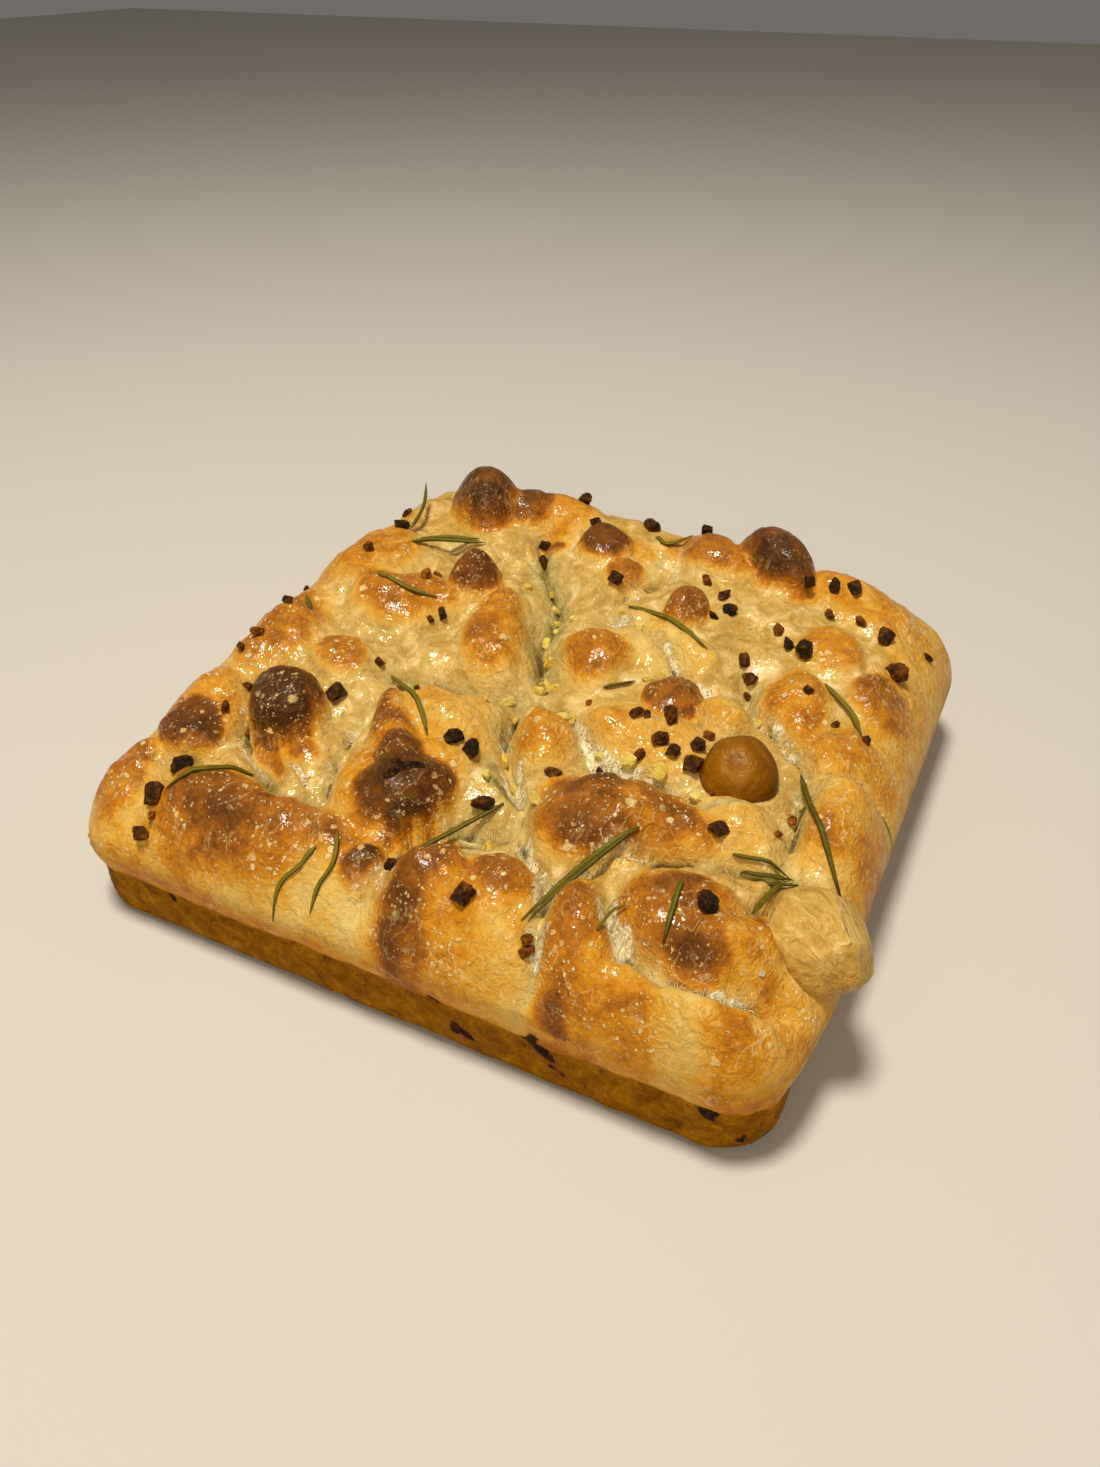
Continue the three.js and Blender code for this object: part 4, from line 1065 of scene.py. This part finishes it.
def blister_shape(polar, around):
    """A slack bag: flat faces with soft edges, and creases that fan from its high side."""
    s, c = math.sin(polar), math.cos(polar)
    facing = np.stack([s * np.cos(around), s * np.sin(around), np.full(len(around), c)], -1)
    reach = BAG_HEIGHTS / np.maximum(facing @ BAG_FACES.T, 0.25)
    radius = np.minimum(-np.log(np.exp(-reach / BAG_EDGE).sum(1)) * BAG_EDGE, 1.08)
    px, py = facing[:, 0] + 0.55, facing[:, 1] - 0.55
    u = 7 * np.arctan2(py, px) + 0.9 * np.sin(5 * px + 3 * py) + 0.7 * np.sin(9 * px - 7 * py + 1)
    sharp = np.exp(-np.abs(np.sin(u)) / 0.22) - 0.6 * np.exp(-np.abs(np.sin(1.7 * u + 2 * px)) / 0.15)
    fold = sharp * min(1.0, s * 1.6) * (0.55 + 0.45 * np.sin(3.1 * px + 4.3 * py))
    radius = radius + FOLD_RISE * fold
    return radius * s, radius * c, 0.3 * fold


# ---- Toppings ----

SEED = 7
BIT_LIFT = 0.24                        # how far a bit's middle stands up, as a share of its size
LEAF_SECTION = 12                      # corners round a needle
STRANDS_PER_MM, STRAND_STEPS = 6.0, 5
SALT_FLAKES, SALT_LIFT = 16, 0.15
rng = np.random.default_rng(SEED)


def tangent_frame(x, y):
    """Across, along and upward directions of the crust at a point."""
    d = 1.2
    a = on_crust(x + d, y) - on_crust(x - d, y)
    up = unit(np.cross(a, on_crust(x, y + d) - on_crust(x, y - d)))
    a = unit(a - up * np.dot(a, up))
    return np.stack([a, np.cross(up, a), up])


def fine_box(cells):
    """Points and faces of a cube of side 1 around the origin, with `cells` cells along each edge."""
    seen, faces = {}, []
    for axis, side, i, j in np.ndindex(3, 2, cells, cells):
        quad = []
        for a, b in ((0, 0), (1, 0), (1, 1), (0, 1)):
            corner = (side * cells, i + a, j + b)
            quad.append(seen.setdefault(corner[-axis:] + corner[:-axis], len(seen)))
        faces.append(quad if side else quad[::-1])
    return np.array(list(seen)) / cells - 0.5, np.array(faces)


BOX, BOX_FACES = fine_box(6)
CORNER_SIGNS = np.array([[1 if k & bit else -1 for bit in (1, 2, 4)] for k in range(8)])
CORNER_SHARES = np.prod(0.5 + CORNER_SIGNS * BOX[:, None], axis=2)   # pull of each corner on a point


def chopped_bit(size, proportions, cuts, wobble):
    """Points of a chopped cube: a fine box with sheared corners, cut flats and uneven faces."""
    shear = rng.normal(0, 0.16, (3, 3))
    np.fill_diagonal(shear, 0)
    p = BOX + BOX @ shear + CORNER_SHARES @ rng.normal(0, 0.07, (8, 3))
    for _ in range(cuts):
        normal = unit(rng.normal(size=3))
        p = p - np.clip(p @ normal - 0.46, 0, None)[:, None] * normal
    length = np.linalg.norm(p, axis=1, keepdims=True)
    p = p * np.minimum(1, 0.72 / np.maximum(length, 1e-6))       # rounds the sharpest corners
    p = p + wobble * rng.normal(size=p.shape)
    return p * size * np.array(proportions)


def make_bits(name, bits, material, flat):
    """Chopped garlic, each bit lying tipped on the crust."""
    parts, tints = [], []
    for x, y, size, burnt in bits:
        size, burnt = 0.9 * size, burnt - 0.05
        proportions = (1.0, rng.uniform(0.6, 0.95), rng.uniform(0.5, 0.85) * flat)
        p = chopped_bit(size, proportions, 5, 0.028)
        spin, lean = rng.uniform(0, 2 * math.pi), rng.normal(0, 0.35, 2)
        p = turned(p, spin) @ np.array([[1, 0, lean[0]], [0, 1, lean[1]], [-lean[0], -lean[1], 1]])
        axes = tangent_frame(x, y)
        parts.append((on_crust(x, y) + axes[2] * size * BIT_LIFT * flat + p @ axes, BOX_FACES))
        edge = np.clip(np.abs(p).max(1) / size * 2, 0, 1)
        tints.append(np.stack([np.full(len(p), burnt), edge, 0 * edge], -1))
    add_mesh(name, *stacked(parts), material, "garlic", smooth=False, layers={"tint": np.vstack(tints)})


def needle_line(run):
    """The needle lies on the high spots under it and bridges the dips with a little sag."""
    line = smooth_run(run, 8)
    ground = on_crust(line[:, 0], line[:, 1])
    ground[:, 2] += 0.6 + line[:, 2]
    held = ground[:, 2].copy()
    for _ in range(200):
        held[1:-1] = np.maximum(ground[1:-1, 2], (held[:-2] + held[2:]) / 2 - 0.005)
    ground[:, 2] = held
    return ground


def make_needles(material):
    """Each needle: a tapered blade with edges that roll under and a groove along the top."""
    parts, tints = [], []
    angle = 2 * math.pi * np.arange(LEAF_SECTION) / LEAF_SECTION
    a, b = np.cos(angle), np.sin(angle)
    upper = b > 0
    groove = np.where(upper, 0.28 * np.exp(-(a / 0.28) ** 2), 0.0)
    lift = 0.62 * b - groove * b - 0.25 * a * a
    for run, width, brown in NEEDLES:
        line = needle_line(run)
        n = len(line)
        forward = unit(np.gradient(line, axis=0))
        side = unit(np.cross(forward, (0, 0, 1.0)))
        roll = (rng.uniform(-0.5, 0.5) + np.linspace(0, rng.uniform(-0.6, 0.6), n))[:, None]
        up = np.cross(side, forward)
        side, up = side * np.cos(roll) + up * np.sin(roll), up * np.cos(roll) - side * np.sin(roll)
        t = np.linspace(0, 1, n)
        taper = np.clip(np.minimum(t / 0.16 + 0.25, (1 - t) / 0.30 + 0.08), 0, 1) ** 0.8
        half = (width / 2 * taper)[:, None, None]
        ring = side[:, None] * a[None, :, None] + up[:, None] * lift[None, :, None]
        tip = np.clip(brown + 0.35 * (t > 0.9), 0, 1)
        tint = np.zeros((n, LEAF_SECTION, 3))
        # Across the needle: its edges and its underside take painted shade in the leaf material.
        tint[..., 0], tint[..., 1] = tip[:, None], np.where(upper, np.abs(a), 0.9)
        tints.append(tint.reshape(-1, 3))
        faces = []
        for k in range(0, (n - 1) * LEAF_SECTION, LEAF_SECTION):
            for q in range(LEAF_SECTION):
                this, after = k + q, k + (q + 1) % LEAF_SECTION
                ahead, beside = this + LEAF_SECTION, after + LEAF_SECTION
                faces += [(this, after, beside), (this, beside, ahead)]
        for end, order in ((0, -1), (n - 1, 1)):
            hoop = [end * LEAF_SECTION + q for q in range(LEAF_SECTION)][::order]
            faces += [(hoop[0], hoop[q], hoop[q + 1]) for q in range(1, LEAF_SECTION - 1)]
        parts.append(((line[:, None] + half * ring).reshape(-1, 3), faces))
    add_mesh("rosemary", *stacked(parts), material, "rosemary", layers={"tint": np.vstack(tints)})


def make_webs(material):
    """Thin strands of dough drawn across the torn creases, each one a three-sided thread."""
    parts = []
    ts = np.linspace(0, 1, STRAND_STEPS)
    arc = np.sin(ts * math.pi)
    corners = 2 * math.pi * np.arange(3) / 3
    sides = [(3 * q + k, 3 * q + (k + 1) % 3) for q in range(STRAND_STEPS - 1) for k in range(3)]
    faces = [face for a, b in sides for face in ((a, b, b + 3), (a, b + 3, a + 3))]
    end = 3 * (STRAND_STEPS - 1)
    faces += [(0, 2, 1), (end, end + 1, end + 2)]
    thin = np.where((ts == 0) | (ts == 1), 0.45, 1.0)
    for (_, width, torn_share, _), line in zip(CREASES, CREASE_LINES):
        for _ in range(int(line_length(line) * torn_share * STRANDS_PER_MM)):
            k = rng.integers(0, len(line) - 1)
            step = line[k + 1, :2] - line[k, :2]
            forward = unit(step)
            across = np.array([-forward[1], forward[0]])
            start = line[k, :2] + rng.random() * step
            start = start + across * rng.normal(0, 0.35 * width)
            if inset(*start) < 4 or crust_tear(*start) < 0.38:
                continue
            spin = rng.normal(0, 0.6)
            heading = across * math.cos(spin) + forward * math.sin(spin)
            beside = np.array([-heading[1], heading[0], 0])
            length, thick = rng.uniform(1.0, 2.8), rng.uniform(0.05, 0.11)
            curl, arch = rng.normal(0, 0.5), rng.uniform(0.2, 0.9)
            path = start + np.outer((ts - 0.5) * length, heading) + np.outer(arc * curl, beside[:2])
            run = on_crust(path[:, 0], path[:, 1])
            chord = run[0, 2] * (1 - ts) + run[-1, 2] * ts - 0.3
            run[:, 2] = np.maximum(run[:, 2] + 0.08, chord) + arch * arc
            ring = np.outer(np.cos(corners), beside) + np.outer(np.sin(corners), (0, 0, 1))
            parts.append(((run[:, None] + (thick * thin)[:, None, None] * ring).reshape(-1, 3), faces))
    add_mesh("torn_webs", *stacked(parts), material, "crust")


def make_salt(material):
    """Flakes and grains strewn by chance, thicker towards the front."""
    parts = []
    for _ in range(SALT_FLAKES):
        x, y = rng.uniform(-88, 92), rng.uniform(-92, 84)
        if rng.random() < 0.35:
            y = rng.uniform(-96, -50)
        size = rng.choice([0.8, 1.1, 1.5, 2.2], p=[0.4, 0.3, 0.2, 0.1])
        p = chopped_bit(size, (1, rng.uniform(0.7, 1), rng.uniform(0.4, 0.8)), 2, 0.01)
        axes = tangent_frame(x, y)
        p = turned(p, rng.uniform(0, 2 * math.pi))
        parts.append((on_crust(x, y) + axes[2] * size * SALT_LIFT + p @ axes, BOX_FACES))
    add_mesh("salt", *stacked(parts), material, "salt", smooth=False)


# ---- The focaccia ----

make_crust(crust_material())

AMBER_TONES = [(0.0, (0.090, 0.025, 0.0)), (0.3, (0.180, 0.060, 0.0)),
               (0.55, (0.29, 0.110, 0.001)), (0.8, (0.44, 0.20, 0.010))]
points, faces, rings = skin_cap(AMBER, amber_shape, rows=48, columns=72)
glassy = skin_material("amber skin", AMBER_TONES, 16.0, 0.40, 0.0005)
add_mesh("amber_bubble", points, faces, glassy, "blister", layers={"ring": rings})

BLISTER_TONES = [(0.0, (0.34, 0.175, 0.020)), (0.3, (0.50, 0.290, 0.048)),
                 (0.6, (0.66, 0.42, 0.100)), (1.0, (0.88, 0.68, 0.30))]
points, faces, rings = skin_cap(BLISTER, blister_shape, rows=72, columns=144)
slack = skin_material("slack skin", BLISTER_TONES, 5.0, 0.32, 0.0015, (1.3, 0.30, 0.9), 0.14)
add_mesh("pale_blister", points, faces, slack, "blister", layers={"ring": rings})

ROASTED_TONES = [(0.0, (0.50, 0.190, 0.010)), (0.34, (0.24, 0.070, 0.004)),
                 (0.60, (0.090, 0.029, 0.004)), (0.78, (0.034, 0.013, 0.004)), (0.95, (0.013, 0.007, 0.004))]
make_bits("roasted_garlic", GARLIC, bit_material("roasted garlic", ROASTED_TONES, 0.42, 0.0007), 1.0)
SOFT_TONES = [(0.0, (0.72, 0.62, 0.17)), (0.5, (0.70, 0.50, 0.07)), (1.0, (0.52, 0.25, 0.015))]
soft_bits = [(x, y, size, rng.uniform(0.1, 0.7)) for x, y, size in PALE_GARLIC]
make_bits("pale_garlic", soft_bits, bit_material("soft garlic", SOFT_TONES, 0.42, 0.0004), 0.8)
make_needles(leaf_material())
make_webs(web_material())
make_salt(salt_material())


# ---- Stage ----

FLOOR_HALF = 3.0                       # metres


def make_floor():
    a = FLOOR_HALF
    mesh = bpy.data.meshes.new("floor")
    mesh.from_pydata([(-a, -a, 0), (a, -a, 0), (a, a, 0), (-a, a, 0)], [], [(0, 1, 2, 3)])
    mesh.materials.append(Nodes("pale floor").finish(Base_Color=(0.63, 0.58, 0.51), Roughness=0.9))
    floor = bpy.data.objects.new("floor", mesh)
    bpy.context.scene.collection.objects.link(floor)
    return floor


def area_light(name, place, target, size, power, colour):
    data = bpy.data.lights.new(name, "AREA")
    data.shape, data.size, data.energy, data.color = "DISK", size, power, colour
    light = bpy.data.objects.new(name, data)
    bpy.context.scene.collection.objects.link(light)
    light.location = place
    aim = Vector([to - start for to, start in zip(target, place)])
    light.rotation_euler = aim.to_track_quat("-Z", "Y").to_euler()


make_floor()
area_light("ceiling", (-0.10, -0.16, 1.37), (0, 0, 0.04), 0.30, 17.5, (1.0, 0.95, 0.86))
area_light("fill", (0.4, -1.2, 0.8), (0, 0, 0.03), 0.45, 5.8, (1.0, 0.87, 0.66))

world = bpy.data.worlds.new("studio")
bpy.context.scene.world = world
world.use_nodes = True
background = world.node_tree.nodes["Background"]
background.inputs["Color"].default_value = (1.0, 0.95, 0.88, 1)
background.inputs["Strength"].default_value = 0.16
bpy.context.scene.view_settings.view_transform = "Standard"


# ---- Camera ----

CAMERA_AT = (122.0, -249.0, 231.9)
LOOK_DOWN = 36.5                       # degrees below level
HEADING = (-0.4428, 0.8966)            # level direction of the view
camera_data = bpy.data.cameras.new("camera")
camera_data.sensor_fit = "AUTO"
camera_data.sensor_width = 36.0
camera_data.lens = 26.99
camera_data.clip_start = 0.01
camera = bpy.data.objects.new("camera", camera_data)
bpy.context.scene.collection.objects.link(camera)
camera.location = [value * MM for value in CAMERA_AT]
camera.rotation_euler = (math.radians(90 - LOOK_DOWN), 0, math.atan2(-HEADING[0], HEADING[1]))
bpy.context.scene.camera = camera
